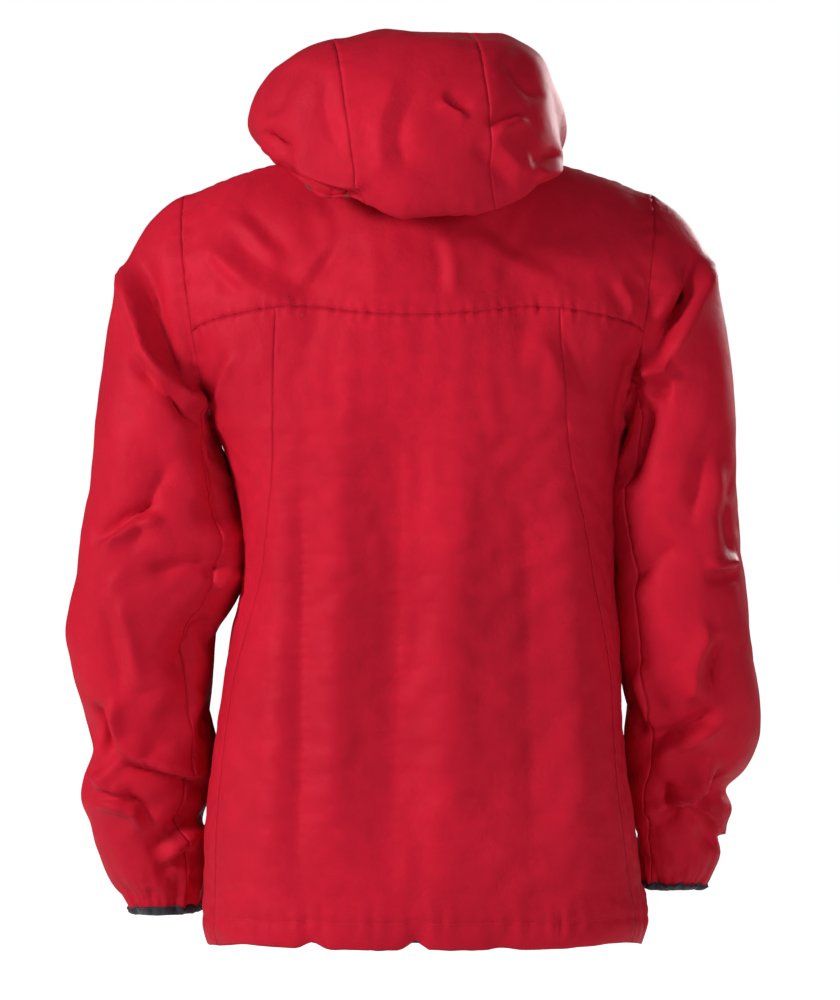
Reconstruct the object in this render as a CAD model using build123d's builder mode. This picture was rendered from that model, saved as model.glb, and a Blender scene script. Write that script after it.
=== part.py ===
"""Hooded hardshell jacket, zipped shut and filled out as if worn.

Frame: +Z up, the front faces -Y, the wearer's left is +X. The origin is the hook
point of the hanger loop, inside the back of the neck. Millimetres.
"""

from build123d import *
import os

os.makedirs("parts", exist_ok=True)

# ---------------------------------------------------------------- driving sizes
WALL = 1.5  # shell fabric with its lining
FRONT_Y = -182.0  # flat front, where every zip lies
BACK_Y_HEM = 76.0
HEM_Z = -712.0
HEM_HEIGHT = 28.0
HEM_HALF_WIDTH = 203.0
SIDE_RADIUS = 85.0
SIDE_SEAM_Y = -40.0
YOKE_Z = -102.0
COLLAR_SEAM_Z = 20.0
COLLAR_TOP_Z = 58.0
PRINCESS_TOP_X = 124.0
PRINCESS_SLOPE = 0.12  # sideways run of the back seam for each mm down
REACH = 1000.0  # larger than the jacket, for cutting boxes

# height, half width, back y, corner radius
TORSO_SECTIONS = [
    (HEM_Z, HEM_HALF_WIDTH, BACK_Y_HEM, SIDE_RADIUS),
    (HEM_Z + HEM_HEIGHT, HEM_HALF_WIDTH, BACK_Y_HEM, SIDE_RADIUS),
    (-570, 193, 73, SIDE_RADIUS),
    (-500, 187, 68, SIDE_RADIUS),
    (-410, 182, 64, SIDE_RADIUS),
    (-300, 182, 64, SIDE_RADIUS),
    (-250, 184, 66, SIDE_RADIUS),
    (-205, 200, 68, SIDE_RADIUS),
    (-120, 209, 68, 90),
    (-60, 213, 60, 95),
    (-25, 200, 50, 98),
    (0, 178, 40, 100),
    (18, 145, 30, 98),
    (33, 116, 20, 92),
    (46, 98, 14, 80),
    (COLLAR_TOP_Z, 94, 12, 76),
]
SHOULDER_Z = -60.0  # above this the cloth slopes, so the inner skin is lowered too

# height, centre x, centre y, half width, half depth
SLEEVE_SECTIONS = [
    (-2, 214, -57, 14, 30),
    (-20, 222, -57, 40, 62),
    (-50, 226, -57, 50, 78),
    (-88, 232, -57, 54, 84),
    (-143, 238, -57, 58, 84),
    (-207, 244, -58, 60, 80),
    (-285, 252, -60, 60, 74),
    (-410, 262, -66, 68, 70),
    (-480, 259, -82, 58, 62),
    (-560, 259, -104, 58, 56),
    (-620, 253, -120, 49, 50),
    (-664, 242, -130, 32, 40),
]
CUFF_HEIGHT = 14.0
CUFF_WALL = 2.4
UNDER_SEAM_TOP = (212.0, -200.0)  # x and z
UNDER_SEAM_BOTTOM = (226.0, -672.0)

# height, half width, front y, back y, corner radius
HOOD_SECTIONS = [
    (-22, 92, 15, 80, 30),
    (0, 120, -20, 100, 55),
    (35, 138, -90, 106, 85),
    (75, 158, -140, 104, 110),
    (115, 144, -150, 92, 100),
    (145, 112, -120, 65, 80),
    (165, 60, -60, 25, 38),
]
HOOD_SEAM_X = 62.0
HOOD_FACE_LOW = (-150.0, 30.0)  # y and z of the face opening at the chin
HOOD_FACE_HIGH = (-20.0, 168.0)
HOOD_BINDING_WIDTH = 9.0

# zips: sizes across the chain, shared by all three
GAP_HALF = 7.0  # half the slot in the shell
COIL_INNER = 0.6
COIL_OUTER = 3.2
COIL_FRONT_Y = FRONT_Y + 0.3
COIL_BACK_Y = FRONT_Y + 3.5
TAPE_FRONT_Y = FRONT_Y + WALL
TAPE_BACK_Y = TAPE_FRONT_Y + 0.8
SLIDER_HALF_WIDTH = 4.6
SLIDER_HALF_HEIGHT = 6.0
PLATE = 1.2
BRIDGE_HALF = 0.4
LUG_DEPTH = 3.2
LUG_HALF = 1.3
PIVOT_RISE = 3.0  # the pull's pin above the slider's middle
PIN_RADIUS = 0.7
PIVOT_Y = FRONT_Y - PLATE - 1.7
PULL_HALF_WIDTH = 4.0
PULL_WINDOW_HALF = 2.0
PULL_WINDOW = 6.0
PULL_LENGTH = 30.0

FRONT_ZIP_TOP = 50.0
FRONT_ZIP_BOTTOM = -695.5
FRONT_TAPE_HALF = 14.0
FRONT_SLIDER_Z = 44.0
POCKET_X = 78.0
POCKET_ZIP_TOP = -340.0
POCKET_ZIP_BOTTOM = -500.0
POCKET_TAPE_HALF = 16.0
POCKET_SLIDER_Z = -347.0

CORD_RADIUS = 1.25
CORD_INSET = 6.5
CORD_Z = -698.0
CORD_END_X = 34.0
LOCK_Y = -50.0
LOCK_SIZE = (10.0, 14.0, 16.0)
LOCK_TOP_Z = -693.0
BORE_RADIUS = 3.7
PLUNGER_RADIUS = 3.5
PLUNGER_TOP_Z = -686.0
PLUNGER_BOTTOM_Z = -701.0


def save(name, part):
    """Label one finished sub-part and write it as its own STEP file."""
    part.label = name
    export_step(part, f"parts/{name}.step")


def block(x, y, z):
    """Box between two x, two y and two z values, made apart from any part."""
    size = (x[1] - x[0], y[1] - y[0], z[1] - z[0])
    middle = ((x[0] + x[1]) / 2, (y[0] + y[1]) / 2, (z[0] + z[1]) / 2)
    return Pos(*middle) * Box(*size, mode=Mode.PRIVATE)


def mirrored(part):
    """The same piece on the wearer's right."""
    with BuildPart() as other:
        mirror(part, about=Plane.YZ)
    return other.part


# ---------------------------------------------------------------- body forms
def torso_form(inset, overrun=0.0):
    """Solid inside the torso's skin, drawn in by inset and run past both ends."""
    with BuildPart() as form:
        for z, half_width, back_y, radius in TORSO_SECTIONS:
            height = z
            if z > SHOULDER_Z:
                height = z - inset
            if z == HEM_Z:
                height = z - overrun
            if z == COLLAR_TOP_Z:
                height = z + overrun
            middle_y = (back_y + FRONT_Y) / 2
            depth = back_y - FRONT_Y
            with BuildSketch(Plane(origin=(0, middle_y, height))):
                RectangleRounded(2 * (half_width - inset), depth - 2 * inset, radius - inset)
        loft(ruled=True)
    return form.part


def sleeve_form(inset, overrun=0.0):
    """Solid inside the left sleeve's skin, from the shoulder to the cuff."""
    last = len(SLEEVE_SECTIONS) - 1
    with BuildPart() as form:
        for number, (z, x, y, half_width, half_depth) in enumerate(SLEEVE_SECTIONS):
            height = z
            if number < 3:
                height = z - inset
            if number == last:
                height = z - overrun
            with BuildSketch(Plane(origin=(x, y, height))):
                Ellipse(half_width - inset, half_depth - inset)
        loft(ruled=True)
    return form.part


def hood_form(inset):
    """Solid inside the hood's skin."""
    last = len(HOOD_SECTIONS) - 1
    with BuildPart() as form:
        for number, (z, half_width, front_y, back_y, radius) in enumerate(HOOD_SECTIONS):
            height = z
            if number == 0:
                height = z + inset
            if number >= last - 1:
                height = z - inset
            middle_y = (front_y + back_y) / 2
            depth = back_y - front_y
            with BuildSketch(Plane(origin=(0, middle_y, height))):
                RectangleRounded(2 * (half_width - inset), depth - 2 * inset, radius - inset)
        loft(ruled=True)
    return form.part


torso_outer = torso_form(0.0)
torso_inner = torso_form(WALL, overrun=4.0)
sleeve_outer = sleeve_form(0.0)
sleeve_inner = sleeve_form(WALL, overrun=4.0)

with BuildPart() as torso_shell:
    add(torso_outer)
    add(torso_inner, mode=Mode.SUBTRACT)
    add(sleeve_inner, mode=Mode.SUBTRACT)
    mirror(sleeve_inner, about=Plane.YZ, mode=Mode.SUBTRACT)
    # the slot of the front zip
    add(block((-GAP_HALF, GAP_HALF), (FRONT_Y - 5, FRONT_Y + 30), (-REACH, REACH)), mode=Mode.SUBTRACT)


# ---------------------------------------------------------------- torso panels
princess_plane = Plane(
    origin=(PRINCESS_TOP_X, 0, YOKE_Z),
    x_dir=(0, 1, 0),
    z_dir=(1, 0, PRINCESS_SLOPE),
)
below_yoke = block((-REACH, REACH), (SIDE_SEAM_Y, REACH), (-REACH, YOKE_Z))
above_yoke = block((-REACH, REACH), (SIDE_SEAM_Y, REACH), (YOKE_Z, COLLAR_SEAM_Z))
front_left_zone = block((0, REACH), (-REACH, SIDE_SEAM_Y), (-REACH, COLLAR_SEAM_Z))
collar_zone = block((-REACH, REACH), (-REACH, REACH), (COLLAR_SEAM_Z, REACH))
pocket_slot = block(
    (POCKET_X - GAP_HALF, POCKET_X + GAP_HALF),
    (FRONT_Y - 5, FRONT_Y + 10),
    (POCKET_ZIP_BOTTOM - GAP_HALF, POCKET_ZIP_TOP + GAP_HALF),
)

with BuildPart() as back_lower:
    add(torso_shell.part)
    add(below_yoke, mode=Mode.INTERSECT)

with BuildPart() as side_panel:
    add(back_lower.part)
    split(bisect_by=princess_plane, keep=Keep.TOP)
save("side_panel_left", side_panel.part)
save("side_panel_right", mirrored(side_panel.part))

with BuildPart() as back_panel:
    add(back_lower.part)
    split(bisect_by=princess_plane, keep=Keep.BOTTOM)
    add(mirrored(side_panel.part), mode=Mode.SUBTRACT)
save("back_panel", back_panel.part)

with BuildPart() as back_yoke:
    add(torso_shell.part)
    add(above_yoke, mode=Mode.INTERSECT)
save("back_yoke", back_yoke.part)

with BuildPart() as front_panel:
    add(torso_shell.part)
    add(front_left_zone, mode=Mode.INTERSECT)
    add(pocket_slot, mode=Mode.SUBTRACT)
save("front_panel_left", front_panel.part)
save("front_panel_right", mirrored(front_panel.part))

with BuildPart() as collar:
    add(torso_shell.part)
    add(collar_zone, mode=Mode.INTERSECT)
save("collar", collar.part)

LINING = 1.0
with BuildPart() as collar_lining:
    add(torso_form(WALL))
    add(torso_form(WALL + LINING, overrun=4.0), mode=Mode.SUBTRACT)
    add(block((-REACH, REACH), (-REACH, REACH), (COLLAR_SEAM_Z + 2, COLLAR_TOP_Z - 1)), mode=Mode.INTERSECT)
    add(block((-18, 18), (FRONT_Y, FRONT_Y + 30), (-REACH, REACH)), mode=Mode.SUBTRACT)
save("collar_lining", collar_lining.part)

SEAM_TAPE = 0.5
with BuildPart() as yoke_seam_tape:
    add(torso_form(WALL))
    add(torso_form(WALL + SEAM_TAPE, overrun=4.0), mode=Mode.SUBTRACT)
    add(block((-165, 165), (-20, REACH), (YOKE_Z - 10, YOKE_Z + 10)), mode=Mode.INTERSECT)
save("yoke_seam_tape", yoke_seam_tape.part)


# ---------------------------------------------------------------- sleeves and cuffs
seam_drop = UNDER_SEAM_TOP[1] - UNDER_SEAM_BOTTOM[1]
seam_shift = UNDER_SEAM_BOTTOM[0] - UNDER_SEAM_TOP[0]
under_seam_plane = Plane(
    origin=(UNDER_SEAM_TOP[0], 0, UNDER_SEAM_TOP[1]),
    x_dir=(0, 1, 0),
    z_dir=(seam_drop, 0, seam_shift),
)
with BuildPart() as sleeve_shell:
    add(sleeve_outer)
    add(sleeve_inner, mode=Mode.SUBTRACT)
    add(torso_outer, mode=Mode.SUBTRACT)

with BuildPart() as sleeve_upper:
    add(sleeve_shell.part)
    split(bisect_by=under_seam_plane, keep=Keep.TOP)
with BuildPart() as sleeve_under:
    add(sleeve_shell.part)
    split(bisect_by=under_seam_plane, keep=Keep.BOTTOM)
for piece_name, piece in (("sleeve_upper", sleeve_upper), ("sleeve_under", sleeve_under)):
    save(f"{piece_name}_left", piece.part)
    save(f"{piece_name}_right", mirrored(piece.part))

cuff_z, cuff_x, cuff_y, cuff_half_width, cuff_half_depth = SLEEVE_SECTIONS[-1]
with BuildPart() as cuff_binding:
    with BuildSketch(Plane(origin=(cuff_x, cuff_y, cuff_z - CUFF_HEIGHT))):
        Ellipse(cuff_half_width + 0.5, cuff_half_depth + 0.5)
        Ellipse(cuff_half_width + 0.5 - CUFF_WALL, cuff_half_depth + 0.5 - CUFF_WALL, mode=Mode.SUBTRACT)
    extrude(amount=CUFF_HEIGHT)
save("cuff_binding_left", cuff_binding.part)
save("cuff_binding_right", mirrored(cuff_binding.part))


# ---------------------------------------------------------------- hood
face_y = HOOD_FACE_HIGH[0] - HOOD_FACE_LOW[0]
face_z = HOOD_FACE_HIGH[1] - HOOD_FACE_LOW[1]
face_plane = Plane(
    origin=(0, HOOD_FACE_LOW[0], HOOD_FACE_LOW[1]),
    x_dir=(1, 0, 0),
    z_dir=(0, -face_z, face_y),
)
with BuildPart() as hood_shell:
    add(hood_form(0.0))
    add(hood_form(WALL), mode=Mode.SUBTRACT)
    add(torso_outer, mode=Mode.SUBTRACT)
    add(sleeve_outer, mode=Mode.SUBTRACT)
    mirror(sleeve_outer, about=Plane.YZ, mode=Mode.SUBTRACT)
    split(bisect_by=face_plane, keep=Keep.BOTTOM)

binding_plane = face_plane.offset(-HOOD_BINDING_WIDTH)
with BuildPart() as hood_edge_binding:
    add(hood_shell.part)
    split(bisect_by=binding_plane, keep=Keep.TOP)
save("hood_edge_binding", hood_edge_binding.part)

with BuildPart() as hood_body:
    add(hood_shell.part)
    split(bisect_by=binding_plane, keep=Keep.BOTTOM)

with BuildPart() as hood_centre_panel:
    add(hood_body.part)
    add(block((-HOOD_SEAM_X, HOOD_SEAM_X), (-REACH, REACH), (-REACH, REACH)), mode=Mode.INTERSECT)
save("hood_centre_panel", hood_centre_panel.part)

with BuildPart() as hood_side:
    add(hood_body.part)
    add(block((HOOD_SEAM_X, REACH), (-REACH, REACH), (-REACH, REACH)), mode=Mode.INTERSECT)
save("hood_side_left", hood_side.part)
save("hood_side_right", mirrored(hood_side.part))


# ---------------------------------------------------------------- hem, drawcord and cord locks
CHANNEL = 10.0
FACING = 1.0
hem_middle_y = (BACK_Y_HEM + FRONT_Y) / 2
hem_depth = BACK_Y_HEM - FRONT_Y


def hem_loop(inset):
    """The hem's outline drawn in by inset, for use inside a sketch."""
    return RectangleRounded(
        2 * (HEM_HALF_WIDTH - inset), hem_depth - 2 * inset, SIDE_RADIUS - inset, mode=Mode.PRIVATE
    )


with BuildPart() as hem_facing:
    with BuildSketch(Plane(origin=(0, hem_middle_y, HEM_Z))):
        add(hem_loop(WALL))
        add(hem_loop(WALL + CHANNEL + FACING), mode=Mode.SUBTRACT)
    extrude(amount=HEM_HEIGHT)
    with BuildSketch(Plane(origin=(0, hem_middle_y, HEM_Z + FACING))):
        add(hem_loop(WALL - 1))
        add(hem_loop(WALL + CHANNEL), mode=Mode.SUBTRACT)
    extrude(amount=HEM_HEIGHT - 2 * FACING, mode=Mode.SUBTRACT)
    add(block((-26, 26), (FRONT_Y, FRONT_Y + 30), (-REACH, REACH)), mode=Mode.SUBTRACT)
save("hem_facing", hem_facing.part)

cord_x = HEM_HALF_WIDTH - CORD_INSET
cord_front_y = FRONT_Y + CORD_INSET
cord_back_y = BACK_Y_HEM - CORD_INSET
with BuildPart() as hem_drawcord:
    with BuildLine(Plane.XY.offset(CORD_Z)) as cord_path:
        FilletPolyline(
            (CORD_END_X, cord_front_y),
            (cord_x, cord_front_y),
            (cord_x, cord_back_y),
            (-cord_x, cord_back_y),
            (-cord_x, cord_front_y),
            (-CORD_END_X, cord_front_y),
            radius=SIDE_RADIUS - CORD_INSET,
        )
    with BuildSketch(Plane(origin=(CORD_END_X, cord_front_y, CORD_Z), z_dir=(1, 0, 0))):
        Circle(CORD_RADIUS)
    sweep(path=cord_path.line)
print("hem drawcord length", round(cord_path.wires()[0].length), "mm")
print("hem drawcord bend radius", SIDE_RADIUS - CORD_INSET, "mm")
save("hem_drawcord", hem_drawcord.part)

lock_floor_z = LOCK_TOP_Z - LOCK_SIZE[2] + 1.0
with BuildPart() as hem_cord_lock_body:
    with Locations((cord_x, LOCK_Y, LOCK_TOP_Z - LOCK_SIZE[2] / 2)):
        Box(*LOCK_SIZE)
    fillet(hem_cord_lock_body.edges().filter_by(Axis.Z), radius=2.5)
    with BuildSketch(Plane(origin=(cord_x, LOCK_Y, lock_floor_z))):
        Circle(BORE_RADIUS)
    extrude(amount=LOCK_SIZE[2], mode=Mode.SUBTRACT)
    with BuildSketch(Plane(origin=(cord_x, LOCK_Y, CORD_Z), z_dir=(0, 1, 0))):
        Circle(CORD_RADIUS + 0.35)
    extrude(amount=LOCK_SIZE[1], both=True, mode=Mode.SUBTRACT)
save("hem_cord_lock_body_left", hem_cord_lock_body.part)
save("hem_cord_lock_body_right", mirrored(hem_cord_lock_body.part))

SLOT_HALF = CORD_RADIUS + 0.35
SLOT_BOTTOM_Z = CORD_Z - CORD_RADIUS - 0.15
SLOT_TOP_Z = -691.4
with BuildPart() as hem_cord_lock_plunger:
    with BuildSketch(Plane(origin=(cord_x, LOCK_Y, PLUNGER_BOTTOM_Z))):
        Circle(PLUNGER_RADIUS)
    extrude(amount=PLUNGER_TOP_Z - PLUNGER_BOTTOM_Z)
    add(
        block(
            (cord_x - SLOT_HALF, cord_x + SLOT_HALF),
            (LOCK_Y - 10, LOCK_Y + 10),
            (SLOT_BOTTOM_Z, SLOT_TOP_Z),
        ),
        mode=Mode.SUBTRACT,
    )
    fillet(hem_cord_lock_plunger.faces().sort_by(Axis.Z)[-1].edges(), radius=0.8)
save("hem_cord_lock_plunger_left", hem_cord_lock_plunger.part)
save("hem_cord_lock_plunger_right", mirrored(hem_cord_lock_plunger.part))

SPRING_WIRE = 0.35
SPRING_RADIUS = 2.5
spring_height = PLUNGER_BOTTOM_Z - lock_floor_z - 2 * SPRING_WIRE - 0.1
with BuildPart() as hem_cord_lock_spring:
    with BuildLine(Plane(origin=(cord_x, LOCK_Y, lock_floor_z + SPRING_WIRE + 0.05))) as coil:
        Helix(pitch=spring_height / 4, height=spring_height, radius=SPRING_RADIUS)
    with BuildSketch(Plane(origin=coil.line @ 0, z_dir=coil.line % 0)):
        Circle(SPRING_WIRE)
    sweep(path=coil.line, is_frenet=True)
save("hem_cord_lock_spring_left", hem_cord_lock_spring.part)
save("hem_cord_lock_spring_right", mirrored(hem_cord_lock_spring.part))


# ---------------------------------------------------------------- zips
def chain_half(x, side, bottom, top):
    """One coil of a zip chain on the given side of its centre line."""
    edges = sorted((x + side * COIL_INNER, x + side * COIL_OUTER))
    with BuildPart() as coil_bar:
        add(block(edges, (COIL_FRONT_Y, COIL_BACK_Y), (bottom, top)))
        fillet(coil_bar.edges().filter_by(Axis.Z), radius=0.5)
    return coil_bar.part


def tape_half(x, side, half_width, bottom, top):
    """One woven tape, from its coil to its sewn edge."""
    edges = sorted((x + side * COIL_OUTER, x + side * half_width))
    return block(edges, (TAPE_FRONT_Y, TAPE_BACK_Y), (bottom, top))


def slider(x, z):
    """Zip slider: two plates, the thin bridge between them and the pull's lug."""
    plate_x = (x - SLIDER_HALF_WIDTH, x + SLIDER_HALF_WIDTH)
    plate_z = (z - SLIDER_HALF_HEIGHT, z + SLIDER_HALF_HEIGHT)
    with BuildPart() as body:
        add(block(plate_x, (FRONT_Y - PLATE, FRONT_Y), plate_z))
        add(block(plate_x, (COIL_BACK_Y + 0.3, COIL_BACK_Y + 0.3 + PLATE), plate_z))
        fillet(body.edges().filter_by(Axis.Y), radius=2.0)
        add(block((x - BRIDGE_HALF, x + BRIDGE_HALF), (FRONT_Y, COIL_BACK_Y + 0.3), (z - 1, z + 5)))
        lug_y = (FRONT_Y - PLATE - LUG_DEPTH, FRONT_Y - PLATE)
        add(block((x - LUG_HALF, x + LUG_HALF), lug_y, (z + PIVOT_RISE - 2, z + PIVOT_RISE + 2)))
        with BuildSketch(Plane(origin=(x, PIVOT_Y, z + PIVOT_RISE), z_dir=(1, 0, 0))):
            Circle(PIN_RADIUS + 0.15)
        extrude(amount=LUG_HALF + 1, both=True, mode=Mode.SUBTRACT)
    return body.part


def pull(x, z):
    """Pull tab whose top bar is the pin in the slider's lug."""
    pivot_z = z + PIVOT_RISE
    tab_y = (PIVOT_Y - PIN_RADIUS, PIVOT_Y + PIN_RADIUS)
    window_z = pivot_z - PULL_WINDOW
    with BuildPart() as tab:
        with BuildSketch(Plane(origin=(x, PIVOT_Y, pivot_z), z_dir=(1, 0, 0))):
            Circle(PIN_RADIUS)
        extrude(amount=PULL_HALF_WIDTH, both=True)
        for side in (-1, 1):
            arm_x = sorted((x + side * PULL_WINDOW_HALF, x + side * PULL_HALF_WIDTH))
            add(block(arm_x, tab_y, (window_z, pivot_z)))
        add(block((x - PULL_HALF_WIDTH, x + PULL_HALF_WIDTH), tab_y, (pivot_z - PULL_LENGTH, window_z)))
    return tab.part


save("front_zip_teeth_left", chain_half(0, 1, FRONT_ZIP_BOTTOM, FRONT_ZIP_TOP))
save("front_zip_teeth_right", chain_half(0, -1, FRONT_ZIP_BOTTOM, FRONT_ZIP_TOP))

BOX_HALF = 5.0
BOX_TOP_Z = -696.0
BOX_BOTTOM_Z = -708.0
for side_name, side in (("left", 1), ("right", -1)):
    with BuildPart() as front_tape:
        add(tape_half(0, side, FRONT_TAPE_HALF, BOX_BOTTOM_Z, COLLAR_TOP_Z))
        add(
            block((-BOX_HALF, BOX_HALF), (FRONT_Y - 5, FRONT_Y + 8), (BOX_BOTTOM_Z - 1, BOX_TOP_Z)),
            mode=Mode.SUBTRACT,
        )
    save(f"front_zip_tape_{side_name}", front_tape.part)

save("front_zip_slider", slider(0, FRONT_SLIDER_Z))
save("front_zip_pull", pull(0, FRONT_SLIDER_Z))

with BuildPart() as front_zip_box:
    add(block((-BOX_HALF, BOX_HALF), (FRONT_Y - 0.6, COIL_BACK_Y + 0.6), (BOX_BOTTOM_Z, BOX_TOP_Z)))
    fillet(front_zip_box.edges().filter_by(Axis.Y), radius=1.2)
    add(block((-3.4, -0.4), (FRONT_Y + 0.1, COIL_BACK_Y - 0.1), (-707, -690)), mode=Mode.SUBTRACT)
save("front_zip_box", front_zip_box.part)
with BuildPart() as front_zip_pin:
    add(block((-3.2, -0.6), (COIL_FRONT_Y, COIL_BACK_Y - 0.3), (-706.5, FRONT_ZIP_BOTTOM)))
save("front_zip_pin", front_zip_pin.part)

with BuildPart() as front_zip_top_stops:
    for stop_x in ((COIL_INNER, COIL_OUTER), (-COIL_OUTER, -COIL_INNER)):
        add(block(stop_x, (COIL_FRONT_Y - 0.3, COIL_BACK_Y + 0.3), (FRONT_ZIP_TOP + 0.3, FRONT_ZIP_TOP + 3)))
save("front_zip_top_stops", front_zip_top_stops.part)

flap_front_y = COIL_BACK_Y + 3.0
with BuildPart() as wind_flap:
    add(block((-22, 18), (flap_front_y, flap_front_y + 0.8), (BOX_BOTTOM_Z, COLLAR_TOP_Z - 1)))
    add(block((12, FRONT_TAPE_HALF), (TAPE_BACK_Y, flap_front_y), (BOX_BOTTOM_Z, COLLAR_TOP_Z - 1)))
save("wind_flap", wind_flap.part)
with BuildPart() as chin_guard:
    add(block((-20, 18), (flap_front_y + 0.8, flap_front_y + 2.0), (28, COLLAR_TOP_Z - 1)))
    fillet(chin_guard.edges().filter_by(Axis.Y), radius=6)
save("chin_guard", chin_guard.part)

with BuildPart() as pocket_teeth:
    for side in (-1, 1):
        add(chain_half(POCKET_X, side, POCKET_ZIP_BOTTOM, POCKET_ZIP_TOP))
with BuildPart() as pocket_tape:
    for side in (-1, 1):
        add(tape_half(POCKET_X, side, POCKET_TAPE_HALF, POCKET_ZIP_BOTTOM - 10, POCKET_ZIP_TOP + 10))
with BuildPart() as pocket_stops:
    for stop_z in ((POCKET_ZIP_TOP + 0.3, POCKET_ZIP_TOP + 3), (POCKET_ZIP_BOTTOM - 3, POCKET_ZIP_BOTTOM - 0.3)):
        stop_x = (POCKET_X - COIL_OUTER, POCKET_X + COIL_OUTER)
        add(block(stop_x, (COIL_FRONT_Y - 0.3, COIL_BACK_Y + 0.3), stop_z))
with BuildPart() as pocket_bag:
    bag_front_y = COIL_BACK_Y + 0.3 + PLATE + 0.6
    add(block((28, POCKET_X + 16), (bag_front_y, bag_front_y + 2.0), (-560, POCKET_ZIP_TOP + 12)))
    fillet(pocket_bag.edges().filter_by(Axis.Y), radius=14)
pocket_parts = {
    "pocket_zip_teeth": pocket_teeth.part,
    "pocket_zip_tape": pocket_tape.part,
    "pocket_zip_stops": pocket_stops.part,
    "pocket_bag": pocket_bag.part,
    "pocket_zip_slider": slider(POCKET_X, POCKET_SLIDER_Z),
    "pocket_zip_pull": pull(POCKET_X, POCKET_SLIDER_Z),
}
for piece_name, piece in pocket_parts.items():
    save(f"{piece_name}_left", piece)
    save(f"{piece_name}_right", mirrored(piece))


# ---------------------------------------------------------------- hanger loop and label
LOOP_HALF_WIDTH = 34.0
LOOP_STRIP = 1.4
with BuildPart() as hanger_loop:
    with BuildSketch(Plane.XY.offset(-6)):
        with BuildLine():
            loop_arc = ThreePointArc((-LOOP_HALF_WIDTH, 44), (0, -LOOP_STRIP / 2), (LOOP_HALF_WIDTH, 44))
            offset(amount=LOOP_STRIP / 2, side=Side.BOTH)
        make_face()
    extrude(amount=8)
    add(torso_inner, mode=Mode.INTERSECT)
save("hanger_loop", hanger_loop.part)

with BuildPart() as care_label:
    add(block((-20, 20), (40.0, 40.5), (-48, -7)))
    add(torso_inner, mode=Mode.INTERSECT)
save("care_label", care_label.part)
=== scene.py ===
"""Hardshell jacket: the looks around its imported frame, laid out as an add-on.

The body and sleeves are one grid of quads, settled by a short cloth simulation, subdivided,
folded along tables of creases and cut along their seams into panels. The hood is a second such
form, without the simulation. Metres, in the frame's own axes: the back faces +Y, the wearer's
left is +X.
"""

import math

import bpy
import numpy as np
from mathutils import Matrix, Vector
from mathutils.kdtree import KDTree


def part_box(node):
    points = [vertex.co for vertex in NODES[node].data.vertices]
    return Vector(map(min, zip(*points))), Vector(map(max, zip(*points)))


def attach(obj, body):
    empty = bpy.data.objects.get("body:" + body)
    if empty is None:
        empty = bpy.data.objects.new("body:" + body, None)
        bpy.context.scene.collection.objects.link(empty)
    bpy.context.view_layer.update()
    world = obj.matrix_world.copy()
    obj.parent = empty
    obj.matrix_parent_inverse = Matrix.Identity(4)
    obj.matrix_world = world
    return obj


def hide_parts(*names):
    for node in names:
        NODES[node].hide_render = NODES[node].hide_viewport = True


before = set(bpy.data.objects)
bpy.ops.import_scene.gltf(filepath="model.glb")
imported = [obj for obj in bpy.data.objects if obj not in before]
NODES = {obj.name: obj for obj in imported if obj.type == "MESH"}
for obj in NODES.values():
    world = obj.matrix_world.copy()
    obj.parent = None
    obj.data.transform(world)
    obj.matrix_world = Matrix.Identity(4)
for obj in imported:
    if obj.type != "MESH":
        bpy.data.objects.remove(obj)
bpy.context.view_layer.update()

bl_info = {
    "name": "Hardshell Jacket",
    "version": (1, 0, 0),
    "blender": (4, 5, 0),
    "location": "View3D > Sidebar > Jacket",
    "description": "Builds the cloth, zips and trims of a hooded shell jacket",
    "category": "Object",
}

MM = 0.001
SIDES = (("left", 1), ("right", -1))


# ------------------------------------------------------------------ numbers and curves
def mm(*values):
    """Millimetres as an array of metres."""
    return np.array(values, dtype=float) * MM


def smooth(x):
    """Smooth step from 0 to 1."""
    x = np.clip(x, 0.0, 1.0)
    return x * x * (3.0 - 2.0 * x)


def bell(away, width):
    """A bell-shaped share, 1 at the middle and fading over the given width."""
    return np.exp(-((away / width) ** 2))


def unit(vectors):
    """Vectors along the last axis, made one long."""
    return vectors / np.linalg.norm(vectors, axis=-1, keepdims=True)


def run_along(line):
    """How far along a line each of its points lies."""
    return np.concatenate([[0], np.cumsum(np.linalg.norm(np.diff(line, axis=0), axis=1))])


def tangents(line):
    """The direction of a line at each of its points."""
    return unit(np.gradient(line, axis=0))


def cloth_map(across, along):
    """Cloth coordinates of a grid from those of its columns and its rows."""
    return np.stack(np.broadcast_arrays(across[None, :], along[:, None]), axis=-1)


def placed_object(name, data):
    """A new object in the scene, at the origin."""
    obj = bpy.data.objects.new(name, data)
    bpy.context.scene.collection.objects.link(obj)
    return obj


def curve(points, count):
    """A smooth line through the points, in even steps of its own length."""
    points = np.asarray(points, dtype=float)
    ends = np.vstack([2 * points[0] - points[1], points, 2 * points[-1] - points[-2]])
    fine = []
    for i in range(1, len(ends) - 2):
        a, b, c, d = ends[i - 1 : i + 3]
        t = np.linspace(0, 1, 40, endpoint=False)[:, None]
        fine.append(
            0.5 * (2 * b + (c - a) * t + (2 * a - 5 * b + 4 * c - d) * t**2 + (3 * b - a - 3 * c + d) * t**3)
        )
    fine.append(points[-1:])
    return evenly(np.vstack(fine), count)


def evenly(line, count):
    """The same line in count points, evenly spaced along it."""
    run = run_along(line)
    at = np.linspace(0, run[-1], count)
    return np.stack([np.interp(at, run, line[:, k]) for k in range(line.shape[1])], axis=1)


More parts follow.
